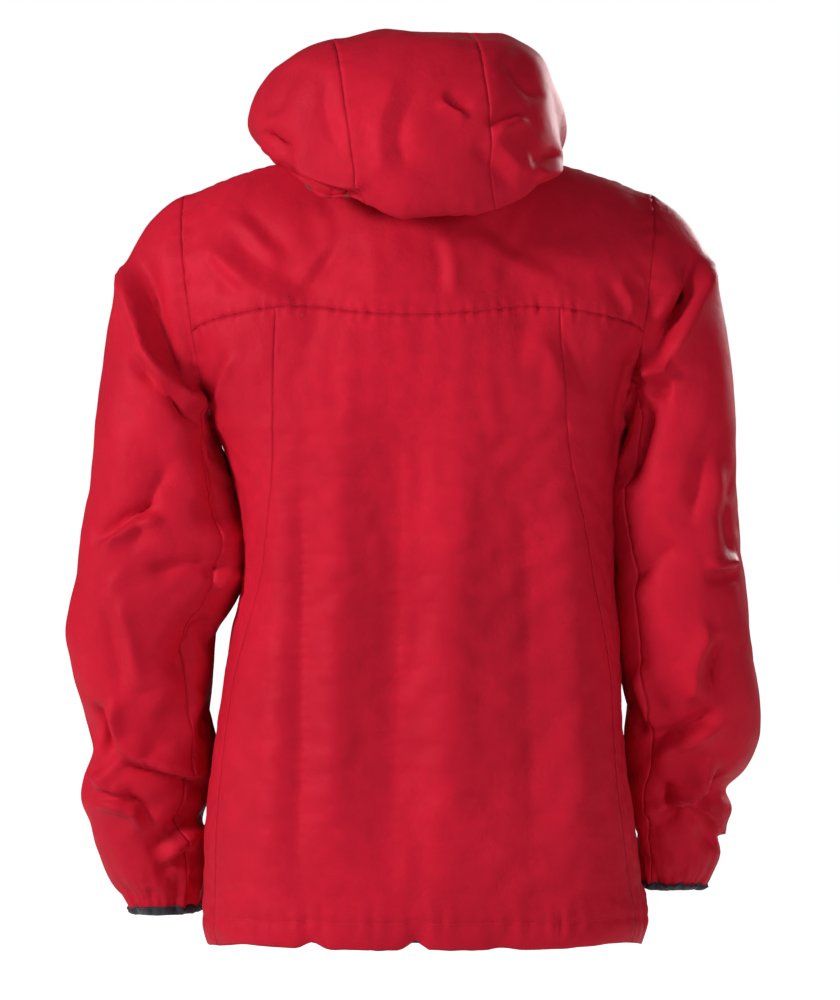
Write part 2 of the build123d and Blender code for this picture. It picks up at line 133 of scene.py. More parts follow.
def table(rows, at):
    """Columns of a table, its first column the key, smoothly read at the given keys."""
    rows = np.array(sorted(rows), dtype=float)
    keys = rows[:, 0]
    out = []
    for column in rows[:, 1:].T:
        slope = np.gradient(column, keys)
        k = np.clip(np.searchsorted(keys, at) - 1, 0, len(keys) - 2)
        width = keys[k + 1] - keys[k]
        t = np.clip((at - keys[k]) / width, 0, 1)
        out.append(
            (2 * t**3 - 3 * t**2 + 1) * column[k]
            + (t**3 - 2 * t**2 + t) * width * slope[k]
            + (-2 * t**3 + 3 * t**2) * column[k + 1]
            + (t**3 - t**2) * width * slope[k + 1]
        )
    return out


def ripple(at, wavelength, seed, octaves=3):
    """Uneven waves of about the given length, from -1 to 1, along a line."""
    rng = np.random.default_rng(seed)
    out = np.zeros_like(at)
    for octave in range(octaves):
        size = 0.62**octave
        pitch = wavelength / 1.7**octave
        for _ in range(3):
            out += size * np.sin(2 * np.pi * at / (pitch * rng.uniform(0.75, 1.35)) + rng.uniform(0, 6.3)) / 3
    return out


# ------------------------------------------------------------------ the sewn form
class Form:
    """Points and quads of one sewn form, with its panels, cloth coordinates and seam lines."""

    def __init__(self):
        self.points = np.zeros((0, 3))
        self.quads = np.zeros((0, 4), int)
        self.panel = np.zeros(0, int)
        self.cloth = np.zeros((0, 4, 2))
        self.lines = {}
        self.arms = {}

    def add_points(self, points):
        """Adds points and gives their numbers in the same layout."""
        points = np.asarray(points)
        flat = points.reshape(-1, 3)
        first = len(self.points)
        self.points = np.vstack([self.points, flat])
        return (first + np.arange(len(flat))).reshape(points.shape[:-1])

    def add_grid(self, index, panel, cloth, flip=False):
        """Quads over a grid of point numbers; panel is one number, or one for each quad."""
        corners = [(0, 0), (0, 1), (1, 1), (1, 0)]
        if flip:
            corners = corners[::-1]
        rows, cols = index.shape[0] - 1, index.shape[1] - 1
        quads = np.stack([index[a : a + rows, b : b + cols] for a, b in corners], axis=-1)
        spots = np.stack([cloth[a : a + rows, b : b + cols] for a, b in corners], axis=-2)
        self.quads = np.vstack([self.quads, quads.reshape(-1, 4)])
        self.cloth = np.vstack([self.cloth, spots.reshape(-1, 4, 2)])
        self.panel = np.concatenate([self.panel, np.broadcast_to(panel, (rows, cols)).reshape(-1)])

    def normals(self):
        """Unit normal at each point."""
        p = self.points[self.quads]
        across = np.cross(p[:, 2] - p[:, 0], p[:, 3] - p[:, 1])
        out = np.zeros_like(self.points)
        for k in range(4):
            np.add.at(out, self.quads[:, k], across)
        return out / np.maximum(np.linalg.norm(out, axis=1, keepdims=True), 1e-12)

    def push(self, amount):
        """Moves each point along its normal."""
        self.points = self.points + self.normals() * np.asarray(amount)[:, None]

    def edges(self):
        """Each edge once, and the number of each quad's four edges."""
        pairs = np.stack([self.quads, np.roll(self.quads, -1, axis=1)], axis=-1).reshape(-1, 2)
        unique, inverse = np.unique(np.sort(pairs, axis=1), axis=0, return_inverse=True)
        return unique, inverse.reshape(-1, 4)

    def relax(self, strength, keep=None):
        """One pass of smoothing, less where keep is near 1."""
        edges, _ = self.edges()
        total = np.zeros_like(self.points)
        count = np.zeros(len(self.points))
        for a, b in ((0, 1), (1, 0)):
            np.add.at(total, edges[:, a], self.points[edges[:, b]])
            np.add.at(count, edges[:, a], 1)
        mean = total / np.maximum(count, 1)[:, None]
        share = strength if keep is None else strength * (1 - keep)[:, None]
        self.points = self.points + (mean - self.points) * share

    def refined(self):
        """One step of smooth subdivision, which keeps panels, cloth coordinates and lines."""
        edges, quad_edges = self.edges()
        n, e = len(self.points), len(edges)
        uses = np.bincount(quad_edges.reshape(-1), minlength=e)
        border = uses == 1
        centres = self.points[self.quads].mean(axis=1)
        middle = self.points[edges].mean(axis=1)
        beside = np.zeros((e, self.points.shape[1]))
        for k in range(4):
            np.add.at(beside, quad_edges[:, k], centres)
        beside /= np.maximum(uses, 1)[:, None]
        edge_points = np.where(border[:, None], middle, (middle + beside) / 2)
        valence = np.bincount(edges.reshape(-1), minlength=n)
        face_sum, edge_sum = np.zeros_like(self.points), np.zeros_like(self.points)
        face_count = np.zeros(n)
        for k in range(4):
            np.add.at(face_sum, self.quads[:, k], centres)
            np.add.at(face_count, self.quads[:, k], 1)
        rim_sum, rim_count = np.zeros_like(self.points), np.zeros(n)
        for k in range(2):
            np.add.at(edge_sum, edges[:, k], middle)
            np.add.at(rim_sum, edges[border, k], middle[border])
            np.add.at(rim_count, edges[border, k], 1)
        v = np.maximum(valence, 1)[:, None]
        inner = (face_sum / np.maximum(face_count, 1)[:, None] + 2 * edge_sum / v + (v - 3) * self.points) / v
        rim = (self.points * 2 + rim_sum) / 4
        points = np.where((rim_count == 2)[:, None], rim, inner)
        points = np.where((rim_count > 2)[:, None], self.points, points)
        out = Form()
        out.points = np.vstack([points, edge_points, centres])
        centre_at = n + e + np.arange(len(self.quads))
        pieces, cloth = [], []
        middle_cloth = self.cloth.mean(axis=1)
        for k in range(4):
            after, before = n + quad_edges[:, k], n + quad_edges[:, k - 1]
            pieces.append(np.stack([self.quads[:, k], after, centre_at, before], axis=1))
            here = self.cloth[:, k]
            to_next = (here + self.cloth[:, (k + 1) % 4]) / 2
            to_last = (here + self.cloth[:, k - 1]) / 2
            cloth.append(np.stack([here, to_next, middle_cloth, to_last], axis=1))
        out.quads = np.vstack(pieces)
        out.cloth = np.vstack(cloth)
        out.panel = np.tile(self.panel, 4)
        number = {tuple(pair): n + i for i, pair in enumerate(edges.tolist())}
        for name, line in self.lines.items():
            fine = [line[0]]
            for a, b in zip(line[:-1], line[1:]):
                fine += [number[(min(a, b), max(a, b))], b]
            out.lines[name] = fine
        return out

    def piece(self, name, panels):
        """A mesh object of the quads in the named panels, with its cloth coordinates."""
        chosen = np.isin(self.panel, panels)
        quads = self.quads[chosen]
        used, inverse = np.unique(quads, return_inverse=True)
        mesh = bpy.data.meshes.new(name)
        mesh.from_pydata(self.points[used].tolist(), [], inverse.reshape(-1, 4).tolist())
        layer = mesh.uv_layers.new(name="cloth")
        layer.data.foreach_set("uv", self.cloth[chosen].reshape(-1))
        mesh.shade_smooth()
        return placed_object(name, mesh)

    def area(self, panels):
        """Area of the named panels in square metres."""
        p = self.points[self.quads[np.isin(self.panel, panels)]]
        return 0.5 * np.linalg.norm(np.cross(p[:, 2] - p[:, 0], p[:, 3] - p[:, 1]), axis=1).sum()


def superellipse(half_x, half_y, power, angle):
    """Points of a rounded section at the given angles, counted from +X towards +Y."""
    c, s = np.cos(angle), np.sin(angle)
    return half_x * np.sign(c) * np.abs(c) ** (2 / power), half_y * np.sign(s) * np.abs(s) ** (2 / power)


def patch(bottom, top, first, last):
    """A sheet stretched between four edges: rows run from bottom to top, columns first to last."""
    v = np.linspace(0, 1, len(first))[:, None, None]
    u = np.linspace(0, 1, len(bottom))[None, :, None]
    along = (1 - v) * bottom[None] + v * top[None]
    across = (1 - u) * first[:, None] + u * last[:, None]
    corners = (1 - v) * ((1 - u) * bottom[0] + u * bottom[-1]) + v * ((1 - u) * top[0] + u * top[-1])
    return along + across - corners


# ------------------------------------------------------------------ the body and sleeves
FRONT_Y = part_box("front_panel_left")[0][1]
ZIP_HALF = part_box("front_panel_left")[0][0]
HEM_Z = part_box("back_panel")[0][2]
HEM_STITCH_Z = HEM_Z + 28 * MM
ARMPIT_Z = -215 * MM
YOKE_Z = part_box("back_yoke")[0][2]

FRONT_COLS, UNDER_COLS, BACK_COLS, SHOULDER_COLS = 38, 6, 40, 24
BODY_ROWS, UPPER_ROWS = 76, 30
CAP_ROWS, ARM_ROWS = 26, 58
SEAM_COL = 18  # back columns between the side edge and the back seam
UNDER_SLEEVE = 9  # columns each side of the underarm line
POCKET_LOW, POCKET_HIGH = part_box("pocket_zip_teeth_left")
POCKET_X = (POCKET_LOW[0] + POCKET_HIGH[0]) / 2
SLOT_HALF = 7 * MM
SLOT_Z = (POCKET_LOW[2] - SLOT_HALF, POCKET_HIGH[2] + SLOT_HALF)
# height, and the back seam's place as a share of the half width there
PRINCESS = [(-712, 0.94), (-598, 0.94), (-462, 0.95), (-380, 0.9), (-300, 0.82), (-215, 0.7)]

# panel numbers
BACK, YOKE, SIDE_L, SIDE_R, FRONT_L, FRONT_R, UPPER_L, UPPER_R, UNDER_L, UNDER_R, SLOT = range(11)

# height, half width on the wearer's left and right, back y
BODY = [
    (-712, 203, 216, 76),
    (-684, 206, 220, 76),
    (-650, 206, 215, 72),
    (-600, 205, 209, 69),
    (-540, 199, 201, 65),
    (-470, 189, 196, 60),
    (-410, 179, 194, 57),
    (-367, 170, 190, 57),
    (-320, 170, 190, 60),
    (-270, 177, 191, 64),
    (-235, 187, 196, 66),
    (-205, 200, 204, 67),
]
ARMHOLE_BACK = [
    (200, -37, -215), (206, -14, -182), (213, 6, -140), (219, 9, -92), (223, -4, -36),
    (223, -28, -2), (221, -50, 15),
]
ARMHOLE_FRONT = [
    (200, -77, -215), (204, -103, -180), (209, -121, -140), (214, -123, -90), (220, -107, -36),
    (222, -80, 1), (221, -50, 15),
]
SHOULDER = [(221, -50, 15), (182, -49, 34), (140, -48, 48), (104, -46, 55), (78, -45, 56)]
NECK_BACK = [(78, -45, 56), (62, -14, 40), (36, 6, 29), (0, 12, 25)]
NECK_FRONT = [(78, -45, 56), (70, -92, 34), (44, -146, 12), (7, -182, 0)]
CENTRE_BACK = [
    (0, 67, -215), (0, 70, -150), (0, 68, -90), (0, 60, -45), (0, 46, -8), (0, 28, 14),
    (0, 12, 25),
]

# height, inner x, outer x, middle y, half depth
ARM_LEFT = [
    (-285, 166, 320, -60, 76),
    (-331, 158, 329, -61, 75),
    (-360, 166, 333, -63, 73),
    (-380, 178, 336, -64, 72),
    (-412, 194, 340, -67, 70),
    (-448, 197, 336, -74, 66),
    (-484, 203, 328, -83, 61),
    (-518, 198, 321, -92, 57),
    (-552, 200, 324, -101, 56),
    (-574, 205, 329, -107, 55),
    (-602, 212, 322, -113, 52),
    (-630, 206, 316, -120, 48),
    (-658, 210, 304, -126, 43),
    (-675, 214, 290, -129, 38),
    (-690, 220, 278, -131, 34),
]
ARM_RIGHT = [
    (-285, 178, 311, -60, 76),
    (-331, 184, 314, -61, 74),
    (-382, 188, 319, -64, 72),
    (-412, 192, 322, -67, 70),
    (-448, 196, 327, -74, 66),
    (-484, 202, 333, -83, 61),
    (-518, 203, 334, -92, 57),
    (-547, 206, 321, -100, 55),
    (-564, 206, 304, -106, 53),
    (-589, 209, 307, -112, 51),
    (-612, 214, 295, -118, 47),
    (-634, 216, 296, -123, 43),
    (-653, 219, 287, -127, 38),
    (-667, 223, 277, -130, 34),
]
ARM_TOP_Z = ARM_LEFT[0][0] * MM


def split_run(line, stops, counts):
    """The line in as many even steps between the given places along it as counts says."""
    parts = []
    marks = [0, *stops, len(line) - 1]
    for start, end, count in zip(marks[:-1], marks[1:], counts):
        parts.append(evenly(line[start : end + 1], count + 1)[:-1])
    parts.append(line[-1:])
    return np.vstack(parts)


def body_row(z):
    """One closed row of the body at height z, from the left of the zip round to its right."""
    half_left, half_right, back_y = (v * MM for v in table(BODY, z / MM))
    seam_share = np.interp(z / MM, *np.array(PRINCESS).T)
    middle_y = -50 * MM
    angle = np.linspace(0, np.pi / 2, 400)
    halves = []
    for half in (half_left, half_right):
        x, y = superellipse(half, middle_y - FRONT_Y, 4.2, angle)
        front = np.stack([x, middle_y - y], axis=1)[::-1]
        x, y = superellipse(half, back_y - middle_y, 2.55, angle)
        back = np.stack([x, middle_y + y], axis=1)
        front = front[front[:, 0] > ZIP_HALF]
        front = np.vstack([[[ZIP_HALF, FRONT_Y]], front])
        line = evenly(np.vstack([front, back[1:]]), 1600)
        on_back = line[:, 1] > middle_y
        stops = [
            np.argmax(line[:, 0] > POCKET_X - SLOT_HALF),
            np.argmax(line[:, 0] > POCKET_X + SLOT_HALF),
            np.argmax(line[:, 1] > middle_y - 27 * MM),
            np.argmax(line[:, 1] > middle_y + 13 * MM),
            np.argmax(on_back & (line[:, 0] < seam_share * half)),
        ]
        counts = (9, 2, FRONT_COLS - 11, UNDER_COLS, SEAM_COL, BACK_COLS - SEAM_COL)
        halves.append(split_run(line, stops, counts))
    left, right = halves
    right = right[::-1] * [-1, 1]
    row = np.vstack([left, right[1:]])
    return np.column_stack([row, np.full(len(row), z)])


def placed(rows, side=1):
    """Points given in millimetres for the left, in metres on the given side."""
    return mm(*np.ravel(rows)).reshape(-1, 3) * [side, 1, 1]


def build_shell():
    """The body and both sleeves as one form, seams on its grid lines."""
    form = Form()
    heights = np.concatenate(
        [np.linspace(HEM_Z, HEM_STITCH_Z, 6)[:-1], np.linspace(HEM_STITCH_Z, ARMPIT_Z, BODY_ROWS - 4)]
    )
    grid = np.stack([body_row(z) for z in heights])
    lower = form.add_points(grid)
    cols = lower.shape[1]
    half = FRONT_COLS + UNDER_COLS + BACK_COLS
    along = run_along(grid[40])
    cloth = cloth_map(along, heights)

    quad_col = np.arange(cols - 1)
    side_end = FRONT_COLS + UNDER_COLS // 2
    seam = FRONT_COLS + UNDER_COLS + SEAM_COL
    left = np.select([quad_col < side_end, quad_col < seam], [FRONT_L, SIDE_L], BACK)
    right = np.select([quad_col < side_end, quad_col < seam], [FRONT_R, SIDE_R], BACK)[::-1]
    panel = np.tile(np.where(quad_col < half, left, right), (len(heights) - 1, 1))
    in_slot = (heights[:-1] > SLOT_Z[0]) & (heights[1:] < SLOT_Z[1])
    for first in (9, cols - 12):
        panel[in_slot, first : first + 2] = SLOT
    form.add_grid(lower, panel, cloth)
    form.lines["hem_stitch"] = lower[5].tolist()
    form.lines["hem_edge"] = lower[0].tolist()
    slot_rows = np.flatnonzero(in_slot)
    slot_rows = np.append(slot_rows, slot_rows[-1] + 1)
    seam_lines = {"left": seam, "right": cols - 1 - seam}
    side_lines = {"left": side_end, "right": cols - 1 - side_end}
    centre = curve(placed(CENTRE_BACK), UPPER_ROWS + 1)
    centre_index = np.concatenate([[lower[-1, half]], form.add_points(centre[1:])])
    for side_name, side in SIDES:
        back_cols = np.arange(half - BACK_COLS, half + 1)
        front_cols = np.arange(0, FRONT_COLS + 1)
        under_cols = np.arange(FRONT_COLS, FRONT_COLS + UNDER_COLS + 1)
        if side < 0:
            back_cols, front_cols, under_cols = (cols - 1 - c for c in (back_cols, front_cols, under_cols))
        bottom_back = form.points[lower[-1, back_cols]]
        bottom_front = form.points[lower[-1, front_cols]]
        shoulder = curve(placed(SHOULDER, side), SHOULDER_COLS + 1)
        neck_back = curve(placed(NECK_BACK, side), BACK_COLS - SHOULDER_COLS + 1)
        neck_front = curve(placed(NECK_FRONT, side), FRONT_COLS - SHOULDER_COLS + 1)
        hole_back = placed(ARMHOLE_BACK, side)
        hole_front = placed(ARMHOLE_FRONT, side)
        hole_back[0], hole_front[0] = bottom_back[0], bottom_front[-1]
        edge_back = curve(hole_back, UPPER_ROWS + 1)
        edge_front = curve(hole_front, UPPER_ROWS + 1)
        top_back = np.vstack([shoulder, neck_back[1:]])
        zip_line = np.linspace(bottom_front[0], neck_front[-1], UPPER_ROWS + 1)
        top_front = np.vstack([neck_front[::-1], shoulder[::-1][1:]])
        back = patch(bottom_back, top_back, edge_back, centre)
        front = patch(bottom_front, top_front, zip_line, edge_front)

        index_back = np.zeros(back.shape[:2], int)
        index_back[0] = lower[-1, back_cols]
        index_back[1:, -1] = centre_index[1:]
        index_back[1:, :-1] = form.add_points(back[1:, :-1])
        index_front = np.zeros(front.shape[:2], int)
        index_front[0] = lower[-1, front_cols]
        index_front[1:-1] = form.add_points(front[1:-1])
        neck_part = FRONT_COLS - SHOULDER_COLS
        index_front[-1, :neck_part] = form.add_points(front[-1, :neck_part])
        index_front[-1, neck_part:] = index_back[-1, : SHOULDER_COLS + 1][::-1]

        side_panel, front_panel = (SIDE_L, FRONT_L) if side > 0 else (SIDE_R, FRONT_R)
        yoke_row = int(np.argmax(centre[:, 2] > YOKE_Z - 17 * MM))
        panel = np.zeros((UPPER_ROWS, BACK_COLS), int)
        quad = np.arange(BACK_COLS)
        for row in range(UPPER_ROWS):
            panel[row] = YOKE if row >= yoke_row else np.where(quad < SEAM_COL, side_panel, BACK)
        rise = np.linspace(ARMPIT_Z, ARMPIT_Z + 0.24, UPPER_ROWS + 1)
        cloth_back = cloth_map(along[back_cols], rise)
        cloth_front = cloth_map(along[front_cols], rise)
        form.add_grid(index_back, panel, cloth_back, flip=side < 0)
        form.add_grid(index_front, front_panel, cloth_front, flip=side < 0)
        form.lines[f"yoke_{side_name}"] = index_back[yoke_row].tolist()
        form.lines[f"princess_{side_name}"] = (
            lower[:, seam_lines[side_name]].tolist() + index_back[1 : yoke_row + 1, SEAM_COL].tolist()
        )
        form.lines[f"side_{side_name}"] = lower[:, side_lines[side_name]].tolist()
        for edge, col in (("inner", 9), ("outer", 11)):
            at = col if side > 0 else cols - 1 - col
            form.lines[f"slot_{edge}_{side_name}"] = lower[slot_rows, at].tolist()
        form.lines[f"shoulder_{side_name}"] = index_back[-1, : SHOULDER_COLS + 1].tolist()
        form.lines[f"neck_back_{side_name}"] = index_back[-1, SHOULDER_COLS:].tolist()
        form.lines[f"neck_front_{side_name}"] = index_front[-1, : neck_part + 1].tolist()
        form.lines[f"zip_edge_{side_name}"] = (
            lower[:, 0 if side > 0 else -1].tolist() + index_front[1:, 0].tolist()
        )

        # the armhole, from the shoulder down the back, under the arm and up the front
        hole = np.concatenate(
            [index_back[::-1, 0], lower[-1, under_cols[::-1]][1:-1], index_front[:, -1]]
        )
        hole = hole[:-1]
        form.lines[f"armhole_{side_name}"] = hole.tolist() + [int(hole[0])]
        build_sleeve(form, hole, side_name, side)
    return form


def build_sleeve(form, hole, side_name, side):
    """One sleeve from its armhole to the cuff, added to the form."""
    start = form.points[hole] * [side, 1, 1]
    count = len(hole)
    rows = ARM_LEFT if side > 0 else ARM_RIGHT
    heights = np.linspace(ARM_TOP_Z, rows[-1][0] * MM, ARM_ROWS + 1)
    step = np.linalg.norm(np.diff(np.vstack([start, start[:1]]), axis=0), axis=1)
    turn = 2 * np.pi * np.concatenate([[0], np.cumsum(step)])[:-1] / step.sum()
    rings = []
    for z in heights:
        inner, outer, middle_y, half_depth = (v * MM for v in table(rows, z / MM))
        fine = np.linspace(0, 2 * np.pi, 721)
        x, y = superellipse((outer - inner) / 2, half_depth, 2.25, fine)
        loop = np.stack([(outer + inner) / 2 + x, middle_y + y], axis=1)
        length = run_along(loop)
        at = turn / (2 * np.pi) * length[-1]
        ring = [np.interp(at, length, loop[:, 0]), np.interp(at, length, loop[:, 1]), np.full(count, z)]
        rings.append(np.stack(ring, axis=1))
    rings = np.stack(rings)
    low, high = start[:, 2].min(), start[:, 2].max()
    lift = (start[:, 2] - low) / (high - low)
    lean = np.radians(-6 + 76 * lift)
    reach = np.linalg.norm(rings[0] - start, axis=1)
    out = np.stack([np.sin(lean), np.zeros(count), -np.cos(lean)], axis=1)
    handle_a = start + out * (reach * (0.24 + 0.1 * lift))[:, None]
    down = unit(rings[0] - rings[1])
    handle_b = rings[0] + down * (reach * (0.34 - 0.1 * lift))[:, None] - (lift * 3 * MM)[:, None] * [1, 0, 0]
    t = np.linspace(0, 1, CAP_ROWS + 1)[:-1, None, None]
    cap = (1 - t) ** 3 * start + 3 * (1 - t) ** 2 * t * handle_a
    cap = cap + 3 * (1 - t) * t**2 * handle_b + t**3 * rings[0]
    arm = np.vstack([cap[1:], rings]) * [side, 1, 1]
    index = np.vstack([hole[None], form.add_points(arm)])
    closed = np.column_stack([index, index[:, 0]])
    line = np.vstack([form.points[hole][None], arm])
    down_run = np.concatenate(
        [[0], np.cumsum(np.linalg.norm(np.diff(line, axis=0), axis=2).mean(axis=1))]
    )
    around = np.linspace(0, 0.42, count + 1)
    cloth = cloth_map(around, -down_run)
    under_mid = UPPER_ROWS + UNDER_COLS / 2
    quad = np.arange(count) + 0.5
    upper, under = (UPPER_L, UNDER_L) if side > 0 else (UPPER_R, UNDER_R)
    panel = np.where(np.abs(quad - under_mid) < UNDER_SLEEVE, under, upper)
    form.add_grid(closed, np.broadcast_to(panel, (len(index) - 1, count)), cloth, flip=side > 0)
    first, last = int(under_mid - UNDER_SLEEVE), int(under_mid + UNDER_SLEEVE)
    form.lines[f"under_back_{side_name}"] = index[:, first].tolist()
    form.lines[f"under_front_{side_name}"] = index[:, last].tolist()
    form.lines[f"cuff_{side_name}"] = closed[-1].tolist()
    form.arms[side_name] = index[1:].reshape(-1)


# ------------------------------------------------------------------ folds
# where, depth, width, side of the ridge beside it, and its path: x and z as the back shows them
FOLDS = [
    ("body", -3.5, 20, 0, [(126, -200), (128, -342), (135, -532), (141, -694)]),
    ("body", 3.0, 8, 0, [(109, -228), (109, -342), (112, -532), (114, -689)]),
    ("body", -4.0, 24, 0, [(69, -124), (73, -304), (76, -513), (80, -694)]),
    ("body", 5.0, 30, 0, [(15, -152), (19, -342), (23, -532), (25, -703)]),
    ("body", -4.5, 28, 0, [(-49, -133), (-36, -304), (-30, -513), (-27, -703)]),
    ("body", 3.5, 22, 0, [(-97, -209), (-104, -380), (-108, -551), (-110, -694)]),
    ("body", -3.0, 20, 0, [(-135, -209), (-146, -380), (-152, -551), (-154, -684)]),
    ("body", 3.0, 16, 1, [(196, -14), (148, -59), (79, -95)]),
    ("body", 2.0, 7, -1, [(209, -48), (182, -78), (158, -97)]),
    ("body", 2.5, 9, 1, [(173, 4), (142, -30), (112, -59)]),
    ("body", 2.0, 6, 1, [(69, -30), (84, -59), (112, -95)]),
    ("body", 3.0, 5, 1, [(200, -194), (192, -169), (180, -142)]),
    ("body", 2.5, 6, -1, [(-179, -84), (-192, -99), (-190, -116)]),
    ("body", 3.0, 14, 1, [(-131, -114), (-148, -152), (-165, -194)]),
    ("body", 6.0, 14, -1, [(-215, -124), (-203, -171), (-196, -218), (-192, -266)]),
    ("body", 2.5, 10, 1, [(-49, -10), (-97, -48), (-154, -68)]),
    ("body", 1.8, 8, -1, [(-11, -28), (-21, -66), (-17, -95)]),
    ("left", 9.0, 12, 1, [(271, -38), (257, -88), (243, -130), (222, -176), (207, -198)]),
    ("left", 8.0, 10, -1, [(282, -149), (263, -159), (243, -180), (205, -217)]),
    ("left", 7.0, 22, 0, [(201, -209), (186, -256), (182, -323)]),
    ("left", 6.0, 8, 1, [(316, -329), (296, -314), (274, -300), (241, -287)]),
    ("left", 4.0, 14, 0, [(260, -355), (226, -348), (188, -344)]),
    ("left", 3.5, 9, 1, [(203, -361), (190, -351), (177, -340)]),
    ("left", 7.0, 20, 0, [(196, -391), (217, -428), (236, -466)]),
    ("left", 6.0, 11, -1, [(312, -475), (303, -508), (291, -542)]),
    ("left", 6.5, 9, -1, [(294, -536), (255, -549), (224, -560), (196, -563)]),
    ("left", 5.0, 7, 1, [(319, -565), (291, -572), (268, -581), (256, -608)]),
    ("left", 6.0, 12, -1, [(209, -583), (238, -606), (266, -631)]),
    ("left", 4.0, 12, 0, [(211, -618), (236, -638), (258, -650)]),
    ("left", -5.0, 12, 0, [(310, -543), (302, -560), (279, -570)]),
    ("left", 3.0, 9, 1, [(196, -466), (207, -504), (200, -522)]),
    ("left", 4.0, 16, 0, [(228, -238), (255, -285), (276, -342)]),
    ("left", 3.0, 12, -1, [(306, -380), (291, -418), (283, -475)]),
    ("right", 7.0, 11, -1, [(-263, -38), (-259, -72), (-241, -115), (-226, -142), (-220, -162)]),
    ("right", 5.0, 8, 1, [(-267, -75), (-249, -101), (-232, -129)]),
    ("right", 7.0, 11, -1, [(-215, -182), (-228, -179), (-243, -178)]),
    ("right", 8.0, 14, 0, [(-218, -182), (-209, -228), (-190, -276)]),
    ("right", 5.0, 8, -1, [(-272, -360), (-291, -358), (-312, -354)]),
    ("right", 5.0, 20, 0, [(-196, -370), (-218, -348), (-253, -323)]),
    ("right", 6.0, 12, 1, [(-299, -412), (-282, -441), (-283, -484)]),
    ("right", 6.0, 10, 1, [(-217, -519), (-238, -511), (-268, -498), (-287, -481)]),
    ("right", 5.0, 9, -1, [(-198, -441), (-207, -481), (-220, -519)]),
    ("right", 5.0, 9, -1, [(-244, -553), (-239, -574), (-255, -594)]),
    ("right", 6.0, 10, 1, [(-301, -532), (-281, -574), (-249, -591), (-215, -606)]),
    ("right", 4.0, 8, -1, [(-255, -593), (-276, -597), (-293, -627)]),
    ("right", 3.5, 14, 0, [(-283, -209), (-268, -266), (-258, -323)]),
    ("right", 3.0, 12, 1, [(-308, -247), (-296, -304), (-304, -348)]),
    ("hood", 7.0, 9, 1, [(148, 66), (133, 51), (116, 36)]),
    ("hood", 6.0, 8, -1, [(131, 30), (101, 10), (59, -6), (44, -11)]),
    ("hood", 3.5, 6, 1, [(-23, 94), (-36, 85), (-52, 77)]),
    ("hood", 3.5, 6, 1, [(-63, 60), (-80, 70), (-101, 80)]),
    ("hood", 5.0, 9, -1, [(-138, 43), (-122, 36), (-103, 29)]),
    ("hood", 3.0, 14, 0, [(112, 133), (125, 99), (141, 68)]),
    ("hood", 2.5, 12, 0, [(84, 124), (87, 76), (70, 28)]),
    ("hood", 3.0, 12, 0, [(-78, 133), (-97, 104), (-122, 91)]),
    ("hood", 2.5, 14, 1, [(-2, 104), (17, 57), (10, 10)]),
    ("hood", 2.5, 12, -1, [(-49, 48), (-78, 19), (-97, 0)]),
]

FRONT_FOLDS = [
    ("body", 4.0, 24, 0, [(128, -300), (124, -480), (126, -690)]),
    ("body", -4.0, 26, 0, [(100, -180), (104, -250), (106, -320)]),
    ("body", 3.5, 24, 0, [(-132, -260), (-128, -460), (-130, -690)]),
    ("body", -3.5, 26, 0, [(-104, -180), (-108, -260), (-110, -330)]),
    ("body", 3.0, 14, 1, [(196, -150), (150, -118), (96, -96)]),
    ("body", 3.0, 14, -1, [(-196, -160), (-150, -124), (-90, -98)]),
    ("body", 2.5, 12, 1, [(186, -230), (150, -262), (120, -330)]),
    ("body", 2.5, 12, -1, [(-186, -240), (-148, -270), (-116, -340)]),
    ("left", 7.0, 14, 1, [(222, -150), (256, -190), (300, -214)]),
    ("left", 6.0, 12, -1, [(210, -240), (250, -262), (292, -300)]),
    ("left", 5.0, 16, 0, [(230, -330), (268, -372), (310, -392)]),
    ("left", 6.0, 10, 1, [(204, -400), (248, -432), (300, -438)]),
    ("left", 6.0, 10, -1, [(214, -500), (256, -520), (308, -510)]),
    ("left", 5.0, 11, 1, [(224, -584), (262, -566), (304, -580)]),
    ("left", 5.0, 12, 0, [(226, -626), (256, -610), (290, -622)]),
    ("right", 7.0, 14, -1, [(-222, -140), (-258, -182), (-298, -200)]),
    ("right", 6.0, 12, 1, [(-210, -250), (-248, -276), (-290, -320)]),
    ("right", 6.0, 11, -1, [(-206, -390), (-250, -424), (-306, -420)]),
    ("right", 5.0, 10, 1, [(-212, -480), (-256, -504), (-316, -490)]),
    ("right", 5.0, 12, -1, [(-222, -560), (-256, -548), (-290, -562)]),
    ("hood", 3.0, 12, 0, [(110, 60), (120, 90), (100, 130)]),
    ("hood", 3.0, 12, 0, [(-104, 56), (-112, 90), (-92, 126)]),
]


FOLD_DEPTH = {"body": 2.0, "left": 2.5, "right": 2.5, "hood": 2.0}
FOLD_WIDTH = {"body": 1.0, "left": 0.85, "right": 0.85, "hood": 0.85}


def fold_height(points, path, depth, width, lean):
    """How far each point (x, z) moves along its normal for one fold."""
    line = curve(mm(*np.ravel(path)).reshape(-1, 2), 48)
    margin = 6 * width * MM
    close = ((points > line.min(axis=0) - margin) & (points < line.max(axis=0) + margin)).all(axis=1)
    moved = np.zeros(len(points))
    if close.any():
        moved[close] = fold_profile(points[close], line, depth, width, lean)
    return moved


